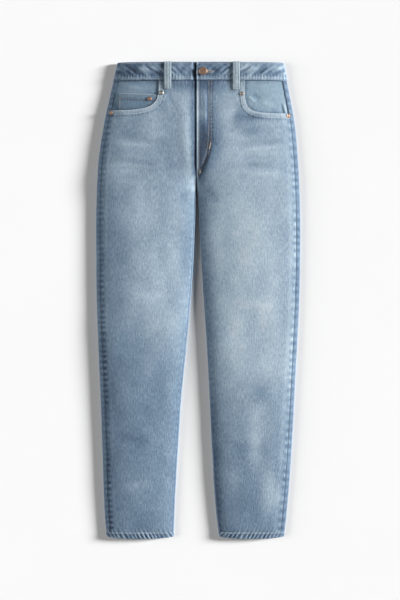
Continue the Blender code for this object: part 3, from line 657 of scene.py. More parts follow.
# Two suns, one low from the right and one soft from the left: turn, height and spread in degrees
light = {
    "key": {"turn": 10.0, "height": 14.6, "spread": 12.0, "strength": 10.3},
    "fill": {"turn": 182.0, "height": 19.0, "spread": 34.0, "strength": 2.7},
    "sky": 0.072,
}
for lightName in ("key", "fill"):
    values = light[lightName]
    sun = bpy.data.lights.new(lightName, "SUN")
    sun.energy = values["strength"]
    sun.angle = math.radians(values["spread"])
    lamp = bpy.data.objects.new(lightName, sun)
    lamp.rotation_euler = (0.0, math.radians(90.0 - values["height"]), math.radians(values["turn"]))
    scene.collection.objects.link(lamp)
world = bpy.data.worlds.new("studio")
world.use_nodes = True
world.node_tree.nodes["Background"].inputs["Color"].default_value = (1.0, 1.0, 1.0, 1.0)
world.node_tree.nodes["Background"].inputs["Strength"].default_value = light["sky"]
scene.world = world

reach = 6.0  # half the floor's width in metres
floorCorners = [(-reach, -reach, 0.0), (reach, -reach, 0.0), (reach, reach, 0.0), (-reach, reach, 0.0)]
floorMesh = bpy.data.meshes.new("floor")
floorMesh.from_pydata(floorCorners, [], [(0, 1, 2, 3)])
floorMesh.materials.append(materials["floor"])
floor = bpy.data.objects.new("floor", floorMesh)
scene.collection.objects.link(floor)


# Soft pale and dark places of the fronts, wash fade and some painted shade: x, down, half width, half height,
# amount
fadeAndShadePlaces = (
    (-100.0, 330.0, 60.0, 190.0, 0.05),
    (110.0, 340.0, 70.0, 250.0, 0.17),
    (70.0, 590.0, 34.0, 120.0, 0.14),
    (150.0, 600.0, 40.0, 110.0, 0.08),
    (-18.0, 190.0, 9.0, 90.0, 0.13),
    (-62.0, 165.0, 26.0, 62.0, -0.12),
    (-34.0, 48.0, 34.0, 12.0, -0.30),
    (20.0, 48.0, 30.0, 16.0, -0.34),
    (14.0, 84.0, 16.0, 30.0, -0.14),
    (15.0, 170.0, 17.0, 56.0, -0.52),
    (4.0, 212.0, 9.0, 40.0, -0.34),
    (40.0, 165.0, 14.0, 60.0, -0.16),
    (84.0, 112.0, 13.0, 20.0, -0.26),
    (116.0, 116.0, 26.0, 8.0, -0.32),
    (118.0, 142.0, 30.0, 14.0, -0.12),
    (-150.0, 152.0, 36.0, 10.0, -0.06),
    (140.0, 168.0, 46.0, 9.0, -0.08),
    (130.0, 214.0, 50.0, 9.0, -0.06),
    (-130.0, 212.0, 50.0, 9.0, -0.06),
    (120.0, 800.0, 17.0, 62.0, 0.26),
    (150.0, 905.0, 18.0, 56.0, 0.22),
    (70.0, 860.0, 22.0, 70.0, 0.10),
    (-170.0, 420.0, 26.0, 170.0, -0.06),
    # Painted shade on the right leg's inner part, beside the shaded gap between the legs
    (-25.0, 400.0, 16.0, 110.0, -0.15),
    (45.0, 380.0, 14.0, 100.0, 0.10),
    (182.0, 420.0, 16.0, 200.0, -0.09),
    (130.0, 690.0, 40.0, 30.0, -0.13),
    (6.0, 108.0, 12.0, 12.0, 0.16),
    (70.0, 108.0, 16.0, 14.0, 0.14),
)


def frontFadeAndShade(side, x, down, rise):
    # Fade and painted shade of a front: pale thighs, darker knees and hems, painted shade away from the
    # light, at the edges and beside the fly, pale ridges and dark troughs
    outer = outerEdge(side, down)
    inner = innerEdge(side, down)
    across = np.clip((x - inner) / (outer - inner), 0.0, 1.0)
    kneeStart = 640.0 if side == "left" else 500.0
    fadeAndShade = 0.61 - 0.17 * ease((down - kneeStart) / 230.0) - 0.03 * ease((down - 900.0) / 80.0) + 0.0 * x
    # Painted shade: each leg is darker on its side towards -x, away from the key light, and paler towards +x,
    # more so down the leg
    fromShade = across if side == "left" else 1.0 - across
    fadeAndShade = fadeAndShade + (0.06 + 0.12 * ease((down - 200.0) / 300.0)) * (fromShade - 0.5)
    # Darker at the side folds: partly the darker seam, partly painted shade where the side rounds away, more
    # on the right side's fold, which faces away from the key light
    fadeAndShade = fadeAndShade - (0.10 if side == "left" else 0.20) * bell((1.0 - across) / 0.10)
    # Painted shade: the legs' inner edges darker below the crotch, where shade falls in the gap between them
    fadeAndShade = fadeAndShade - 0.14 * ease((down - 250.0) / 40.0) * bell(across / 0.07)
    for centreX, centreDown, halfX, halfDown, amount in fadeAndShadePlaces:
        fadeAndShade = fadeAndShade + amount * bell((x - centreX) / halfX) * bell((down - centreDown) / halfDown)
    small = rise - 0.45 * lumps(x / 70.0, down / 110.0, 3)
    fadeAndShade = fadeAndShade + 0.20 * np.clip(small, -1.2, 1.2)
    fadeAndShade = fadeAndShade + 0.03 * lumps(x / 40.0, down / 60.0, 41) + 0.035 * lumps(x / 15.0, down / 24.0, 42)
    away, _ = fromCurve(mouthLines[side], x, down)
    near = down < mouths[side]["outerDown"] + 20.0
    wear = 0.22 * bell(away / 1.4) - 0.12 * bell((away - 11.6) / 2.0) - 0.04 * bell((away - 5.2) / 3.0)
    fadeAndShade = fadeAndShade + near * wear
    if side == "left":
        upper = ease((250.0 - down) / 14.0)
        fadeAndShade = fadeAndShade + upper * (0.30 * bell((x + 1.8) / 1.5) - 0.12 * bell((x - 3.0) / 2.4))
        fromFly, _ = fromCurve(flyLine, x, down)
        fadeAndShade = fadeAndShade - 0.10 * bell(fromFly / 5.0)
    else:
        # Painted shadow of the fly's edge on the right front, beside the centre
        fadeAndShade = fadeAndShade - 0.42 * ease((246.0 - down) / 14.0) * bell((x - jeans["centreX"]) / 9.0)
    fadeAndShade = fadeAndShade - 0.16 * bell((down - band["height"]) / 4.0)
    fromOut = np.abs(outseamX(side, down) - x)
    patchy = 0.65 + 0.6 * lumps(down / 45.0, 3.5, 44)
    fadeAndShade = fadeAndShade + 0.12 * patchy * seamPuckers(side, down) * bell((fromOut - 3.5) / 4.5)
    return fadeAndShade + 0.07 * bell((fromOut - 12.0) / 4.0)


def bandFade(x, down, rise):
    # Fade of the waistband: paler to the left, on its ridges and at both its edges
    fadeAndShade = 0.36 + 0.16 * ease((x - 40.0) / 60.0) + 0.42 * rise + 0.05 * lumps(x / 30.0, down / 20.0, 43)
    fadeAndShade = fadeAndShade + 0.18 * bell((x + 35.0) / 22.0) - 0.06 * bell((x - 72.0) / 16.0)
    fadeAndShade = fadeAndShade + 0.16 * bell((down - 33.5) / 2.6) + 0.12 * bell(down / 1.5)
    return np.clip(fadeAndShade, 0.02, 0.95)


# A stitch: place and radius of each of its rings, as shares of its half length and radius, and how flat it is
thread = {"rings": ((-1.0, 0.35), (-0.72, 0.95), (0.72, 0.95), (1.0, 0.35)), "flat": 0.8}
tiny = 1.0e-6


def stitches(name, lines, pitch=3.4, share=0.72, radius=0.34, finish="thread"):
    # Each stitch is a small rounded bar along its line: rings of six points, closed at both ends
    profile = np.array(thread["rings"])
    angle = np.arange(6) * math.pi / 3.0
    vertices = []
    for points, normals in lines:
        lengths = alongLine(points)
        count = max(1, int(lengths[-1] / pitch))
        starts = np.arange(count) * (lengths[-1] / count)
        ends = starts + share * lengths[-1] / count
        first = atDistances(points, lengths, starts)
        last = atDistances(points, lengths, ends)
        outward = atDistances(normals, lengths, 0.5 * (starts + ends))
        half = 0.5 * (last - first)
        run = half / np.maximum(np.linalg.norm(half, axis=1), tiny)[:, None]
        aside = np.cross(run, outward)
        aside /= np.maximum(np.linalg.norm(aside, axis=1), tiny)[:, None]
        outward = np.cross(aside, run)
        centre = 0.5 * (first + last) + 0.25 * radius * outward
        ring = np.cos(angle)[:, None] * aside[:, None, None, :]
        ring = ring + thread["flat"] * np.sin(angle)[:, None] * outward[:, None, None, :]
        body = centre[:, None, None, :] + profile[:, 0][None, :, None, None] * half[:, None, None, :]
        vertices.append((body + radius * profile[:, 1][None, :, None, None] * ring).reshape(-1, 3))
    vertices = np.concatenate(vertices)
    points = len(profile) * len(angle)
    # Two four-sided faces close the six points of the first ring, and two those of the last
    caps = np.array(((0, 3, 2, 1), (0, 5, 4, 3), (18, 19, 20, 21), (18, 21, 22, 23)))
    one = np.concatenate((gridFaces(len(profile), len(angle), True), caps))
    faces = (one[None, :, :] + points * np.arange(len(vertices) // points)[:, None, None]).reshape(-1, 4)
    return finishMesh(name, vertices, (faces,), finish, 80.0)


def sewn(x, down, z, way=up):
    # A line of points to sew along, with the way out of the cloth at each
    return place(x, down, z), np.tile(way, (len(x), 1))


def onFront(side, curve, raised=0.15):
    # A line of x and down laid on a front panel
    x, down = curve[:, 0], curve[:, 1]
    return sewn(x, down, frontHeight(side, x, down) + raised)


def straight(startX, startDown, endX, endDown, count=120):
    # A straight row of points, as x and down
    share = np.linspace(0.0, 1.0, count)
    return np.stack((startX + share * (endX - startX), startDown + share * (endDown - startDown)), axis=1)


# How fine a front's grid is; gathered is the share of its width that the mouth's columns take at the hip
frontGrid = {"mouthColumns": 84, "waistColumns": 38, "legPitch": 3.0, "hipRows": 40, "edgeRows": 12,
             "gathered": 0.75, "pull": 0.55}


def pulled(count, pull):
    # Numbers from 0 to 1, closer together at both ends
    share = np.linspace(0.0, 1.0, count)
    return share - pull * np.sin(2.0 * math.pi * share) / (2.0 * math.pi)


def frontPlane(side):
    # x and down of a front's grid: level rows up the leg, then rows that close in on the pocket mouth
    sign = sides[side]
    halfGap = sign * 0.5 * jeans["seamGap"]
    mouthColumns, waistColumns = frontGrid["mouthColumns"], frontGrid["waistColumns"]
    columns = 1 + mouthColumns + waistColumns
    even = pulled(columns, frontGrid["pull"])
    part = frontGrid["gathered"]
    gathered = np.concatenate((
        part * np.linspace(0.0, 1.0, mouthColumns + 1),
        part + (1.0 - part) * np.linspace(0.0, 1.0, waistColumns + 1)[1:],
    ))
    top = jeans["length"] - hem["height"] - jeans["seamGap"]
    legRows = int((top - jeans["hipLine"]) / frontGrid["legPitch"])
    downs = np.linspace(top, jeans["hipLine"], legRows)[:, None]
    start = outseamX(side, downs) - halfGap
    end = frontInnerX(side, downs)
    share = ease((jeans["hipGather"] - downs) / (jeans["hipGather"] - jeans["hipLine"]))
    x = start + (end - start) * (even + share * (gathered - even))
    down = downs + 0.0 * x
    width = pocketEdge["width"]
    topDown = band["height"] + jeans["seamGap"]
    mouth = mouthCurve(side, mouthColumns + 1, fromDown=topDown)
    mouth[-1, 1] = topDown
    wide = mouthCurve(side, mouthColumns + 1, outset=width, fromDown=topDown + width)
    wide[-1, 1] = topDown + width
    end = float(frontInnerX(side, np.array(topDown)))
    waist = straight(mouth[-1, 0], topDown, end, topDown, waistColumns + 1)[1:]
    lower = straight(wide[-1, 0], topDown + width, end, topDown + width, waistColumns + 1)[1:]
    upperRow = np.concatenate((mouth, waist))
    edgeRow = np.concatenate((wide, lower))
    hipRow = np.stack((x[-1], down[-1]), axis=1)
    hipShares = np.linspace(0.0, 1.0, frontGrid["hipRows"] + 1)[1:, None, None]
    edgeShares = np.linspace(0.0, 1.0, frontGrid["edgeRows"] + 1)[1:, None, None]
    rows = np.concatenate((
        np.stack((x, down), axis=-1),
        hipRow + hipShares * (edgeRow - hipRow),
        edgeRow + edgeShares * (upperRow - edgeRow),
    ))
    x, down = rows[:, :, 0], rows[:, :, 1]
    x[:, 0] = outseamX(side, down[:, 0]) - halfGap
    return x, down


for side in sides:
    x, down = frontPlane(side)
    rise = frontRelief(side, x, down)
    outer = place(x, down, topHeight(side, x, down) - dip(side, x, down) + rise)
    normals = faced(gridNormals(outer), 1.0, 100, 60)
    fadeAndShade = frontFadeAndShade(side, x, down, rise)
    clothPiece("front_shell_" + side, "front_" + side, outer, normals, fadeAndShade, x, down, "denim_front",
               (226.0, 950.0), ["back_shell_" + side], limits=(0.02, 0.98))
print("fronts ready")


def sections(side, downs):
    # The back's outer face at each down, as x and z from the outseam round the side to the inseam:
    # a short top part, a quarter ellipse to the floor, flat, and a quarter ellipse up at the inner edge
    sign = sides[side]
    downs = np.asarray(downs, float)[:, None]
    outer = outerEdge(side, downs)
    inner = innerEdge(side, downs)
    base = lift(downs)
    share = np.linspace(0.0, 1.0, 24)[None, :]
    topX = outer - sign * jeans["outseamInset"] * (1.0 - share) ** 2
    topZ = topHeight(side, topX, downs)
    sideHeight = topZ[:, -1:] - base
    angle = np.linspace(0.5 * math.pi, 0.0, 16)[None, 1:]
    roundX = outer - sign * jeans["sideRound"] * (1.0 - np.sin(angle)) + 0.0 * downs
    roundZ = base + sideHeight * (1.0 - np.cos(angle))
    crotch = jeans["crotch"]
    rise = ease((downs - (crotch - 32.0)) / 32.0)
    crotchHeight = topHeight(side, inner, np.array([[crotch]]))
    edge = np.where(downs >= crotch, topHeight(side, inner, downs), crotchHeight)
    innerHeight = rise * (edge - base)
    angle = np.linspace(0.0, 0.5 * math.pi, 16)[None, :]
    innerX = inner + sign * jeans["sideRound"] * (1.0 - np.sin(angle))
    innerZ = base + innerHeight * (1.0 - np.cos(angle))
    share = np.linspace(0.0, 1.0, 8)[None, 1:]
    end = inseamX(side, downs)
    lastX = inner + (end - inner) * share**2
    lastZ = np.where(downs > crotch, topHeight(side, lastX, downs), innerZ[:, -1:])
    return (np.concatenate((topX, roundX, innerX, lastX), axis=1),
            np.concatenate((topZ, roundZ, innerZ, lastZ), axis=1))


# How fine the backs are. Their sections are worked out once, every tableStep, and read between
backGrid = {"legRows": 250, "seatRows": 42, "yokeRows": 26, "halfSeam": 0.2, "pull": 0.88}
backColumns = 72
backTable = {}
tableStep = 2.0
tableDowns = np.arange(band["height"] - 2.0, jeans["length"] + tableStep, tableStep)
for side in sides:
    pathX, pathZ = sections(side, tableDowns)
    steps = np.hypot(np.diff(pathX, axis=1), np.diff(pathZ, axis=1))
    lengths = np.concatenate((np.zeros((len(tableDowns), 1)), np.cumsum(steps, axis=1)), axis=1)
    shares = pulled(backColumns, backGrid["pull"])
    wanted = backGrid["halfSeam"] + (lengths[:, -1:] - 2.0 * backGrid["halfSeam"]) * shares[None, :]
    gridX = np.stack([np.interp(wanted[i], lengths[i], pathX[i]) for i in range(len(tableDowns))])
    gridZ = np.stack([np.interp(wanted[i], lengths[i], pathZ[i]) for i in range(len(tableDowns))])
    backTable[side] = (gridX, gridZ, wanted)


def backPoints(side, downs):
    # Points of the back at a down for each row and column, read from the table
    rowPlace = (downs - tableDowns[0]) / tableStep
    row = np.clip(np.floor(rowPlace).astype(int), 0, len(tableDowns) - 2)
    part = rowPlace - row
    column = np.arange(backColumns)[None, :]
    return [grid[row, column] * (1.0 - part) + grid[row + 1, column] * part for grid in backTable[side]]


def makeBack(name, node, side, outerDowns, innerDowns, flat, restsOn):
    # A back piece: each row slants from its outer down to its inner down
    slant = ease((np.linspace(0.0, 1.0, backColumns)[None, :] - 0.25) / 0.6)
    downs = outerDowns[:, None] + (innerDowns - outerDowns)[:, None] * slant
    x, z, along = backPoints(side, downs)
    outer = place(x, downs, z)
    normals = faced(gridNormals(outer), -1.0, 2, backColumns // 2)
    rise = bell((along - 3.5) / 4.0) * 0.4 * seamPuckers(side, downs) - 0.3 * bell(along / 1.4)
    nearHem = ease((downs - 950.0) / 34.0) * (along < 16.0)
    rise = rise + 0.3 * nearHem * puckers(x, rope["pitch"], rope["seed"])
    outer = outer + rise[:, :, None] * normals
    outer[:, :, 2] = np.maximum(outer[:, :, 2], lift(downs))
    fadeAndShade = 0.40 + 0.30 * rise - 0.05 * bell((along - 9.0) / 5.0) + 0.05 * lumps(x / 30.0, downs / 40.0, 51)
    fadeAndShade = fadeAndShade + 0.06 * bell((along - 60.0) / 40.0)
    clothPiece(name, node, outer, normals, fadeAndShade, along, downs, "denim_back", flat, restsOn,
               limits=(0.05, 0.9))


for side in sides:
    legTop = jeans["length"] - hem["height"] - 0.5
    hip = jeans["hipLine"]
    yokeSide, yokeCentre, halfSeam = jeans["yokeSide"], jeans["yokeCentre"], backGrid["halfSeam"]
    legDowns = np.linspace(legTop, hip, backGrid["legRows"])
    seatShare = np.linspace(0.0, 1.0, backGrid["seatRows"])[1:]
    outerDowns = np.concatenate((legDowns, hip + seatShare * (yokeSide + halfSeam - hip)))
    innerDowns = np.concatenate((legDowns, hip + seatShare * (yokeCentre + halfSeam - hip)))
    makeBack("back_shell_" + side, "back_" + side, side, outerDowns, innerDowns, (262.0, 905.0),
             ["back_pocket_shell_" + side, "floor"])
    top = band["height"] + jeans["seamGap"]
    share = np.linspace(0.0, 1.0, backGrid["yokeRows"])
    outerDowns = yokeSide - halfSeam + share * (top - yokeSide + halfSeam)
    innerDowns = yokeCentre - halfSeam + share * (top - yokeCentre + halfSeam)
    makeBack("yoke_shell_" + side, "yoke_" + side, side, outerDowns, innerDowns, (214.0, 80.0),
             ["back_shell_" + side])
print("backs ready")


def underDrop(x):
    # How far the band's right end drops to pass under its left end
    start = jeans["centreX"] - band["dipStart"]
    return (band["wall"] + jeans["layerGap"]) * ease((x - start) / band["dipRun"])


def onTop(side, x, down):
    # x and z of points on the front's smooth form
    return np.stack((x, topHeight(side, x, down)), axis=1)


def sideArc(side, outer, base, high, angle):
    # A quarter ellipse at a side fold: in by 1 less sine, up by 1 less cosine
    x = outer - sides[side] * jeans["sideRound"] * (1.0 - np.sin(angle))
    return np.stack((x, base + high * (1.0 - np.cos(angle))), axis=1)


def bandPath(down):
    # The band's face at one down, as x and z from its under end over the right side, back and left side
    rightOuter = float(outerEdge("right", down))
    leftOuter = float(outerEdge("left", down))
    base = float(lift(down))
    centre = jeans["centreX"]
    gather = band["gather"]
    share = np.linspace(0.0, 1.0, 24)[1:]
    x = np.linspace(centre + band["underlap"], rightOuter + gather, 200)
    height = np.where(x < centre, topHeight("right", x, down), topHeight("left", x, down))
    parts = [np.stack((x, height - underDrop(x)), axis=1)]
    parts.append(onTop("right", rightOuter + gather * (1.0 - share) ** 2, down))
    high = parts[-1][-1, 1] - base
    parts.append(sideArc("right", rightOuter, base, high, np.linspace(0.5 * math.pi, 0.0, 16)[1:]))
    high = float(topHeight("left", leftOuter, down)) - base
    parts.append(sideArc("left", leftOuter, base, high, np.linspace(0.0, 0.5 * math.pi, 16)))
    parts.append(onTop("left", leftOuter - gather * share**2, down))
    parts.append(onTop("left", np.linspace(leftOuter - gather, centre, 160)[1:], down))
    return np.concatenate(parts)


bandStations = 470
bandDowns = np.concatenate((
    (0.0, 0.4, 1.0),
    np.linspace(1.8, band["height"] - 1.2, 24),
    (band["height"] - 0.5, band["height"]),
))
rows = []
distances = []
for down in bandDowns:
    path = bandPath(down)
    lengths = alongLine(path)
    wanted = np.linspace(0.0, lengths[-1], bandStations)
    line = atDistances(path, lengths, wanted)
    tangent = np.gradient(line, axis=0)
    tangent /= np.linalg.norm(tangent, axis=1)[:, None]
    line = line - band["proud"] * np.stack((-tangent[:, 1], tangent[:, 0]), axis=1)
    rows.append(place(line[:, 0], down, line[:, 1]))
    distances.append(wanted)
outer = np.array(rows)
along = np.array(distances)
normals = faced(gridNormals(outer), 1.0, 0, 60)
downs = bandDowns[:, None] + 0.0 * along
shown = np.where(along < 38.0, 0.0, 1.0)  # the first 38 mm lie under the other end
rise = bandRelief(outer[:, :, 0], downs) * ease((normals[:, :, 2] + 0.1) / 0.6) * shown
endEdge = bell((outer[:, :, 0] - jeans["centreX"] - 1.6) / 1.6) * (along > 300.0)
rise = rise + 0.5 * endEdge
outer = outer + rise[:, :, None] * normals
# The under end is darker where it passes under the other end: painted shadow
fadeAndShade = bandFade(outer[:, :, 0], downs, rise) + 0.22 * endEdge - 0.3 * (along < 42.0)
edges = np.minimum(np.minimum(downs, band["height"] - downs), np.minimum(along, along[:, -1:] - along))
clothPiece("waistband_shell", "waistband", outer, normals, fadeAndShade, along, downs, "denim_band", (790.0, 40.0),
           ["belt_loop_back_centre"], wall=band["wall"], limits=(0.03, 0.95), soften=1.3, edges=edges)
print("waistband ready")


def onBand(xs, down, raised=0.15):
    # A level line on the waistband's front face
    right = topHeight("right", xs, down) - underDrop(xs)
    height = np.where(xs < jeans["centreX"], right, topHeight("left", xs, down))
    return sewn(xs, down, height + band["proud"] + bandRelief(xs, down + 0.0 * xs) + raised)


def hemPath(side, down):
    # The whole leg tube at one down, closed
    x, z = sections(side, [down])
    front = np.linspace(float(inseamX(side, down)), float(outseamX(side, down)), 90)[1:-1]
    return np.concatenate((np.stack((x[0], z[0]), axis=1), onTop(side, front, down)))


hemStations = 240
hemTop = jeans["length"] - hem["height"]
hemDowns = np.concatenate((
    (hemTop, hemTop + 0.4, hemTop + 1.0),
    np.linspace(hemTop + 1.7, jeans["length"] - 1.0, 10),
    (jeans["length"] - 0.4, jeans["length"]),
))
for side, sign in sides.items():
    rows = []
    distances = []
    for down in hemDowns:
        path = hemPath(side, down)
        closedPath = np.concatenate((path, path[:1]))
        lengths = alongLine(closedPath)
        wanted = np.linspace(0.0, lengths[-1], hemStations, endpoint=False)
        line = atDistances(closedPath, lengths, wanted)
        tangent = np.roll(line, -1, axis=0) - np.roll(line, 1, axis=0)
        tangent /= np.linalg.norm(tangent, axis=1)[:, None]
        line = line - sign * hem["proud"] * np.stack((tangent[:, 1], -tangent[:, 0]), axis=1)
        across = (line[:, 0] - innerEdge(side, down)) / (outerEdge(side, down) - innerEdge(side, down))
        share = (down - hemTop) / hem["height"]
        bow = hem["bow"] * share * np.clip(np.abs(2.0 * across - 1.0), 0.0, 1.0) ** 3
        rows.append(place(line[:, 0], down - bow, line[:, 1]))
        distances.append(wanted)
    outer = np.array(rows)
    along = np.array(distances)
    normals = gridNormals(outer, closed=True)
    middle = 6.0  # about half the leg's height: above it the tube faces up, and below it down
    if np.sum(normals[0, :, 2] * (outer[0, :, 2] - middle)) < 0.0:
        normals = -normals
    downs = hemDowns[:, None] + 0.0 * along
    rise = hemRelief(side, outer[:, :, 0], downs) * ease((normals[:, :, 2] + 0.2) / 0.7)
    outer = outer + rise[:, :, None] * normals
    outer[:, :, 2] = np.maximum(outer[:, :, 2], hem["clear"])
    fadeAndShade = 0.36 + 0.46 * rise + 0.16 * bell((jeans["length"] - downs) / 1.6)
    fadeAndShade = fadeAndShade + 0.05 * lumps(along / 12.0, downs / 9.0, 53)
    fadeAndShade = fadeAndShade + 0.26 * bell((downs - 987.0) / 1.5)
    edges = np.minimum(downs - hemTop, jeans["length"] - downs)
    clothPiece("hem_shell_" + side, "hem_" + side, outer, normals, fadeAndShade, along, downs, "denim_band",
               (306.0, 15.0), ["floor"], wall=hem["wall"], closed=True, soften=1.2, edges=edges)
print("hems ready")


# Small folds of the facings that show in the pocket mouths, as in folds
facingFolds = {
    "right": ((-150.0, 52.0, -100.0, 58.0, 4.0, 0.5), (-176.0, 80.0, -168.0, 102.0, 4.0, -0.6)),
    "left": (
        (178.0, 84.0, 185.0, 112.0, 2.6, 1.1),
        (173.0, 84.0, 180.0, 112.0, 2.4, -0.9),
        (103.0, 72.0, 120.0, 86.0, 3.0, 0.8),
        (110.0, 66.0, 130.0, 80.0, 4.0, -0.6),
        (130.0, 84.0, 165.0, 96.0, 6.0, 0.5),
    ),
}
facing = {"gap": 0.55, "side": 6.0, "under": 12.0, "fadeAndShade": {"right": 0.50, "left": 0.60}}


def inFacing(side, x, down):
    # Height of a facing's face: a set depth under the front, with its own small folds
    height = topHeight(side, x, down) - (jeans["cloth"] + facing["gap"])
    return height + runs(facingFolds[side], x, down) + 0.12 * lumps(x / 9.0, down / 11.0, 61)


for side, sign in sides.items():
    mouth = mouths[side]
    downs = np.linspace(band["height"] + jeans["seamGap"], mouth["outerDown"] + facing["under"], 46)[:, None]
    start = outerEdge(side, downs) - sign * facing["side"]
    end = mouth["innerX"] - sign * facing["under"]
    x = start + (end - start) * np.linspace(0.0, 1.0, 64)[None, :]
    downs = downs + 0.0 * x
    outer = place(x, downs, inFacing(side, x, downs))
    normals = faced(gridNormals(outer), 1.0, 20, 30)
    away, _ = fromCurve(mouthLines[side], x, downs)
    fadeAndShade = facing["fadeAndShade"][side] + 0.16 * runs(facingFolds[side], x, downs)
    fadeAndShade = fadeAndShade + 0.04 * lumps(x / 16.0, downs / 14.0, 62)
    # Painted shade: darker along the mouth's edge and the waistband, which stand over the facing
    fadeAndShade = fadeAndShade - 0.16 * bell(away / 5.0) - 0.10 * bell((downs - band["height"]) / 5.0)
    clothPiece("facing_shell_" + side, "pocket_facing_" + side, outer, normals, fadeAndShade, x, downs,
               "denim_facing", (124.0, 86.0), ["back_shell_" + side], limits=(0.05, 0.9))

# The coin pocket: its upper left corner, its turned top and its sewn rows, which end at lastDown
coin = {"left": -165.8, "top": 64.5, "mouthFrom": 69.8, "clear": -2.0, "rows": (1.4, 11.5),
        "sunk": 0.35, "wall": 1.0, "lastDown": 96.0}
topLeft = np.array((coin["left"], coin["top"]))
coinCurve = mouthCurve("right", 300, outset=coin["clear"], fromDown=coin["mouthFrom"])
bottom = evenly(coinCurve[coinCurve[:, 0] >= coin["left"]], 44)
bottom[0, 0] = coin["left"]
topRow = straight(*topLeft, *(bottom[-1] + np.array((-0.6, -1.0))), 44)
shares = np.concatenate(((0.0, 0.02, 0.05), np.linspace(0.09, 1.0, 24)))[:, None, None]
rows = topRow + shares * (bottom - topRow)
rows[:, -1, 1] += 2.5 * shares[:, 0, 0]
x, downs = rows[:, :, 0], rows[:, :, 1]
fromTop = downs - topRow[None, :, 1]
fromSide = x - coin["left"]
rise = 0.25 * bell((fromTop - 4.0) / 4.5) - 0.22 * bell((fromTop - coin["rows"][1]) / 1.0)
rise = rise + 0.1 * lumps(x / 8.0, downs / 8.0, 63)
outer = place(x, downs, topHeight("right", x, downs) - coin["sunk"] + rise)
normals = faced(gridNormals(outer), 1.0, 8, 20)
fadeAndShade = 0.42 + 0.2 * rise + 0.24 * bell(fromTop / 1.2) + 0.14 * bell(fromSide / 1.2)
fadeAndShade = fadeAndShade - 0.12 * bell((fromTop - 13.0) / 2.5)
# Painted shade: darker near the mouth's edge, which stands over the coin pocket
away, _ = fromCurve(mouthLines["right"], x, downs)
fadeAndShade = fadeAndShade - 0.10 * bell(away / 6.0)
clothPiece("coin_pocket_shell", "coin_pocket", outer, normals, fadeAndShade, x, downs, "denim_facing", (84.0, 38.0),
           ["facing_shell_right"], wall=coin["wall"], limits=(0.05, 0.9), soften=0.8,
           edges=np.minimum(fromTop, fromSide))
print("pockets ready")


loop = {"width": 14.6, "wall": 1.5, "bow": 1.3, "seam": 3.2, "over": 0.6, "backEnd": 57.0, "backRelief": 0.25}
loopPlaces = {"right": (-63.9, 57.0), "left": (79.7, 59.0)}  # centre x and end of each front loop


def loopTop(side, x, down, end):
    # Height of a front loop's face: it clears the waistband, bows a little and ends on the front
    lowerShare = ease((end - 2.0 - down) / 14.0)
    clear = jeans["layerGap"] + band["proud"] * lowerShare
    bow = loop["bow"] * np.sin(math.pi * np.clip(down / (band["height"] + 6.0), 0.0, 1.0))
    return topHeight(side, x, np.maximum(down, 1.0)) + clear + bow + loop["wall"]


for side, (centre, end) in loopPlaces.items():
    middleDowns = np.linspace(2.0, end - 1.2, 44)
    downs = np.concatenate(((-loop["over"], 0.0, 0.8), middleDowns, (end - 0.5, end)))[:, None]
    x = centre + loop["width"] * (np.linspace(-0.5, 0.5, 19)[None, :]) + 0.0 * downs
    downs = downs + 0.0 * x
    rim = np.minimum(0.5 * loop["width"] - np.abs(x - centre), np.minimum(downs + loop["over"], end - downs))
    crease = 0.16 * bell((np.abs(x - centre) - loop["seam"]) / 0.8) * -1.0 + 0.2 * bell((x - centre) / 2.0)
    rise = crease + 0.12 * lumps(x / 4.0, downs / 7.0, 65) - 0.35 * bell((downs - end + 3.0) / 1.2)
    outer = place(x, downs, loopTop(side, x, downs, end) + rise)
    normals = faced(gridNormals(outer), 1.0, 10, 9)
    fadeAndShade = 0.62 + 0.25 * rise + 0.10 * bell(rim / 0.9) + 0.05 * lumps(x / 5.0, downs / 8.0, 66)
    clothPiece("loop_shell_" + side, "belt_loop_front_" + side, outer, normals, fadeAndShade, x, downs, "denim_loop",
               (15.0, 62.0), ["waistband_shell"], wall=loop["wall"], soften=1.0, edges=rim)

# The loops behind lie level on the floor, face down
for name, centre in (("right", -112.0), ("centre", jeans["centreX"]), ("left", 108.0)):
    half = 0.5 * loop["width"]
    downs = np.linspace(0.0, 1.0, 40)[:, None] * loop["backEnd"] + np.zeros((1, 15))
    u = np.linspace(0.0, 1.0, 15)[None, :]
    x = (1.0 - u) * (centre - half) + u * (centre + half) + 0.0 * downs
    rim = np.minimum(half - np.abs(x - centre), np.minimum(downs, loop["backEnd"] - downs))
    outer = place(x, downs, loop["backRelief"] * bell((np.abs(x - centre) - loop["seam"]) / 0.8))
    fadeAndShade = 0.6 + 0.12 * bell(rim / 0.9) + 0.05 * lumps(x / 5.0, downs / 8.0, 67)
    normals = np.broadcast_to(below, outer.shape)
    clothPiece("loop_shell_back_" + name, "belt_loop_back_" + name, outer, normals, fadeAndShade, x, downs,
               "denim_loop", (15.0, 58.0), ["floor"], wall=loop["wall"] - loop["backRelief"], soften=0.8,
               edges=rim)
print("loops ready")


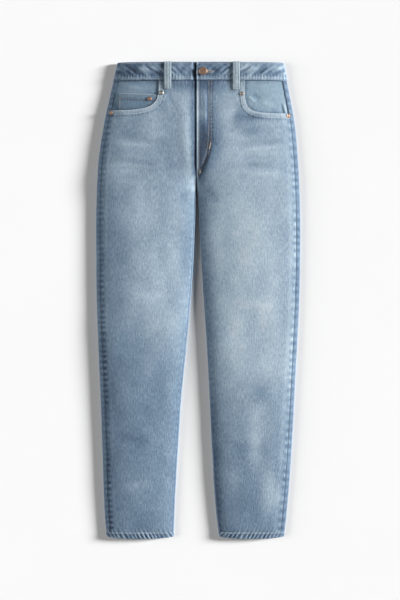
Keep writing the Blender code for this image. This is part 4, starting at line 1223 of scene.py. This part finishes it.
# A back pocket: top is the down of its upper edge's middle, and slope tips that edge down to the centre
backPocket = {"width": 142.0, "height": 152.0, "fromCentre": 34.0, "top": 142.0, "taper": 9.0, "slope": 4.0,
              "wall": 1.4, "relief": 0.25, "rows": (2.0, 8.2)}
backPocketLines = []
for side, sign in sides.items():
    inner = jeans["centreX"] + sign * backPocket["fromCentre"]
    outerX = inner + sign * backPocket["width"]
    taper = sign * backPocket["taper"]
    high = backPocket["height"]
    top = backPocket["top"]
    slope = backPocket["slope"]
    firstRow, secondRow = backPocket["rows"]
    u = np.linspace(0.0, 1.0, 60)[None, :]
    v = np.concatenate(((0.0, 0.004, 0.01), np.linspace(0.02, 0.985, 60), (0.993, 1.0)))[:, None]
    topDown = top + slope - 2.0 * slope * u
    lowDown = top + high * np.where(u < 0.5, 0.8 + 0.4 * u, 1.0 - 0.44 * (u - 0.5))
    downs = topDown + v * (lowDown - topDown)
    x = inner + u * (outerX - inner) + v * taper * (1.0 - 2.0 * u)
    fromSide = np.minimum(u, 1.0 - u) * backPocket["width"] + 0.0 * v
    rim = np.minimum(fromSide, np.minimum(downs - topDown, lowDown - downs))
    groove = bell((rim - firstRow) / 0.8) + bell((rim - secondRow) / 0.8) * (downs > topDown + 9.0)
    outer = place(x, downs, 0.22 * np.clip(groove, 0.0, 1.0))
    fadeAndShade = 0.5 + 0.12 * bell(rim / 1.2) - 0.08 * groove + 0.06 * lumps(x / 18.0, downs / 26.0, 68)
    normals = np.broadcast_to(below, outer.shape)
    clothPiece("back_pocket_shell_" + side, "back_pocket_" + side, outer, normals, fadeAndShade, x, downs,
               "denim_back", (142.0, 156.0), ["floor"], wall=backPocket["wall"] - backPocket["relief"],
               soften=0.8, edges=rim)
    for inset in backPocket["rows"]:
        ring = np.array((
            (inner + sign * inset + taper * 0.02, top + slope),
            (inner + sign * inset + taper, top + 0.8 * high - 0.3 * inset),
            (0.5 * (inner + outerX), top + high - 1.1 * inset),
            (outerX - sign * inset - taper, top + 0.78 * high - 0.3 * inset),
            (outerX - sign * inset - taper * 0.02, top - slope),
        ))
        backPocketLines.append(evenly(ring, 300))
    backPocketLines.append(evenly(np.array(((inner, top + 6.0), (outerX, top - 2.0))), 120))
print("back pockets ready")


def turned(name, profile, segments, centre, normal, materialName, node):
    # A piece turned on its axis: rings of points at each radius and height, tilted to the normal
    profile = np.array(profile)
    angle = np.linspace(0.0, 2.0 * math.pi, segments, endpoint=False)
    normal = np.array(normal) / np.linalg.norm(normal)
    aside = np.cross((0.0, 1.0, 0.0), normal)
    aside /= np.linalg.norm(aside)
    ahead = np.cross(normal, aside)
    radii = np.maximum(profile[:, 0], 0.02)
    ring = np.cos(angle)[:, None] * aside + np.sin(angle)[:, None] * ahead
    points = np.array(centre) + radii[:, None, None] * ring[None] + profile[:, 1][:, None, None] * normal
    low = np.stack((np.full(segments - 2, 0), np.arange(1, segments - 1), np.arange(2, segments)), axis=1)
    caps = np.concatenate((low[:, ::-1], low + (len(profile) - 1) * segments))
    faces = (gridFaces(len(profile), segments, True), caps)
    created = finishMesh(name, points.reshape(-1, 3), faces, materialName, 35.0)
    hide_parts(node)


def slopeNormal(side, x, down):
    # Upward normal of the front's smooth form
    step = 0.4
    across = (topHeight(side, x + step, down) - topHeight(side, x - step, down)) / (2.0 * step)
    along = (topHeight(side, x, down + step) - topHeight(side, x, down - step)) / (2.0 * step)
    normal = np.array((-float(across), float(along), 1.0))
    return normal / np.linalg.norm(normal)


def seat(side, x, down, raised):
    # Where a button or rivet sits: a point raised along the front's normal, and that normal
    x = np.array(x)
    down = np.array(down)
    normal = slopeNormal(side, x, down)
    return place(x, down, topHeight(side, x, down)).reshape(3) + raised * normal, normal


# Radius and height of each ring, from the shank or stem to the middle of the cap
buttonProfile = (
    (0.02, 0.0), (4.6, 0.0), (4.6, 1.4), (7.9, 1.55), (8.4, 1.8), (8.6, 2.3), (8.5, 2.8), (8.1, 3.25),
    (7.5, 3.5), (6.9, 3.45), (6.4, 3.2), (5.9, 3.1), (5.4, 3.3), (4.8, 3.55), (4.0, 3.6), (3.4, 3.4),
    (2.4, 3.35), (1.2, 3.6), (0.02, 3.7),
)
centre, normal = seat("left", 10.0, 20.0, band["proud"] + 0.35)
turned("button_shank", buttonProfile, 56, centre, normal, "aged_brass", "button")
rivetProfile = (
    (0.02, 0.0), (4.3, 0.0), (4.4, 0.3), (4.3, 0.75), (3.9, 1.1), (3.4, 1.15), (2.9, 0.95),
    (2.4, 0.8), (2.0, 0.85), (1.6, 1.15), (1.1, 1.4), (0.6, 1.5), (0.02, 1.55),
)
# Node, side, x, down, height over the front and finish
rivets = (
    ("rivet_right_inner", "right", -77.0, 65.0, 0.4, "dull_steel"),
    ("rivet_left_inner", "left", 91.5, 67.0, 0.4, "dull_steel"),
    ("rivet_right_outer", "right", -183.0, 106.5, 0.4, "aged_brass"),
    ("rivet_left_outer", "left", 189.5, 112.5, 0.4, "aged_brass"),
    ("rivet_coin_pocket", "right", -101.5, 77.5, 0.2, "aged_brass"),
)
for node, side, x, down, raised, finishName in rivets:
    centre, normal = seat(side, x, down, raised)
    turned(node + "_cap", rivetProfile, 28, centre, normal, finishName, node)
print("metal ready")


def barTack(side, x, down, length, width, turn, raised=0.5):
    # A short bar of close threads: they run over its width, side by side along its length
    made = []
    count = int(length / 0.75)
    for step in np.linspace(-0.5, 0.5, count) * length:
        share = np.linspace(-0.5, 0.5, 5) * width
        tackX = x + step * math.cos(turn) - share * math.sin(turn)
        tackDown = down + step * math.sin(turn) + share * math.cos(turn)
        made.append(sewn(tackX, tackDown, frontHeight(side, tackX, tackDown) + raised))
    return made


longStitch = 50.0  # longer than any of these threads, so each is one stitch
tacks = barTack("left", 24.6, 176.0, 13.0, 3.0, 1.85)
tacks += barTack("left", 3.6, 231.0, 8.0, 2.4, 1.75)
stitches("bar_tacks", tacks, pitch=longStitch, share=1.0, radius=0.36)
buttonhole = {"start": 15.0, "end": 32.5, "down": 20.6, "width": 6.4, "threads": 26}
holes = []
for share in np.linspace(0.0, 1.0, buttonhole["threads"]):
    holeX = buttonhole["start"] + share * (buttonhole["end"] - buttonhole["start"])
    half = 0.5 * buttonhole["width"] * (1.0 - 0.72 * share**1.4)
    for way in (-1.0, 1.0):
        tackDown = buttonhole["down"] + way * np.linspace(0.25, 1.0, 5) * half
        points, normals = onBand(np.full(5, holeX), 20.0, 0.3)
        points[:, 1] = 0.5 * jeans["length"] - tackDown
        holes.append((points, normals))
stitches("buttonhole", holes, pitch=longStitch, share=1.0, radius=0.4)
lines = []
for rowDown in band["rows"]:
    for first, last in ((-163.0, -7.5), (-2.0, 174.0)):
        lines.append(onBand(np.linspace(first, last, 240), rowDown))
stitches("stitches_waistband", lines, finish="thread_pale")
lines = []
for side in sides:
    for row in pocketEdge["rows"]:
        lines.append(onFront(side, mouthCurve(side, 160, outset=row, fromDown=band["height"] + 1.5)))
stitches("stitches_pocket_mouths", lines, finish="thread_pale")
# The fly: one row at its edge and two along its curve, 6 mm apart
lines = [onFront("left", straight(1.6, 41.0, 1.6, 244.0)), onFront("left", flyLine)]
inner = flyLine - np.array((6.0, 0.0))
lines.append(onFront("left", inner[inner[:, 1] < 214.0]))
stitches("stitches_fly", lines)
lines = []
for side, sign in sides.items():
    hemDown = hem["row"] - 1.2
    start = float(inseamX(side, hemDown)) + sign * 2.0
    end = float(outseamX(side, hemDown)) + sign * 4.0
    xs = np.linspace(start, end, 160)
    downs = np.full(len(xs), hem["row"])
    z = topHeight(side, xs, downs) + hem["proud"] + hemRelief(side, xs, downs) + 0.15
    lines.append(sewn(xs, downs, z))
stitches("stitches_hems", lines, finish="thread_pale")
lines = []
for offset in coin["rows"]:
    line = straight(*(topLeft + (0.8, offset)), *(topRow[-1] + (-2.0, offset)), 60)
    line = line[line[:, 1] < coin["lastDown"]]
    z = topHeight("right", line[:, 0], line[:, 1]) - 0.2
    lines.append(sewn(line[:, 0], line[:, 1], z + 0.15))
line = straight(topLeft[0] + 1.8, topLeft[1] + 1.0, topLeft[0] + 1.8, 97.0, 50)
z = topHeight("right", line[:, 0], line[:, 1]) - 0.05
lines.append(sewn(line[:, 0], line[:, 1], z))
stitches("stitches_coin_pocket", lines)
lines = [sewn(line[:, 0], line[:, 1], 0.32, below) for line in backPocketLines]
stitches("stitches_back_pockets", lines, pitch=4.0, radius=0.26)
lines = []
for side, sign in sides.items():
    for offset in (3.0, 8.5):
        share = np.linspace(0.03, 1.0, 160)
        span = float(outerEdge(side, 90.0)) - sign * 7.0 - jeans["centreX"]
        x = jeans["centreX"] + sign * 0.6 + share * span
        slant = ease((1.0 - share) / 0.8)
        downs = jeans["yokeSide"] + (jeans["yokeCentre"] - jeans["yokeSide"]) * slant + offset
        lines.append(sewn(x, downs, lift(downs) - 0.1, below))
stitches("stitches_yokes", lines, pitch=4.0)
print("sewing ready")

# The zip is the solid of the CAD itself, with the finish of its tape
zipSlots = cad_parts["zip"].data.materials
zipSlots.clear()
zipSlots.append(materials["zip_tape"])
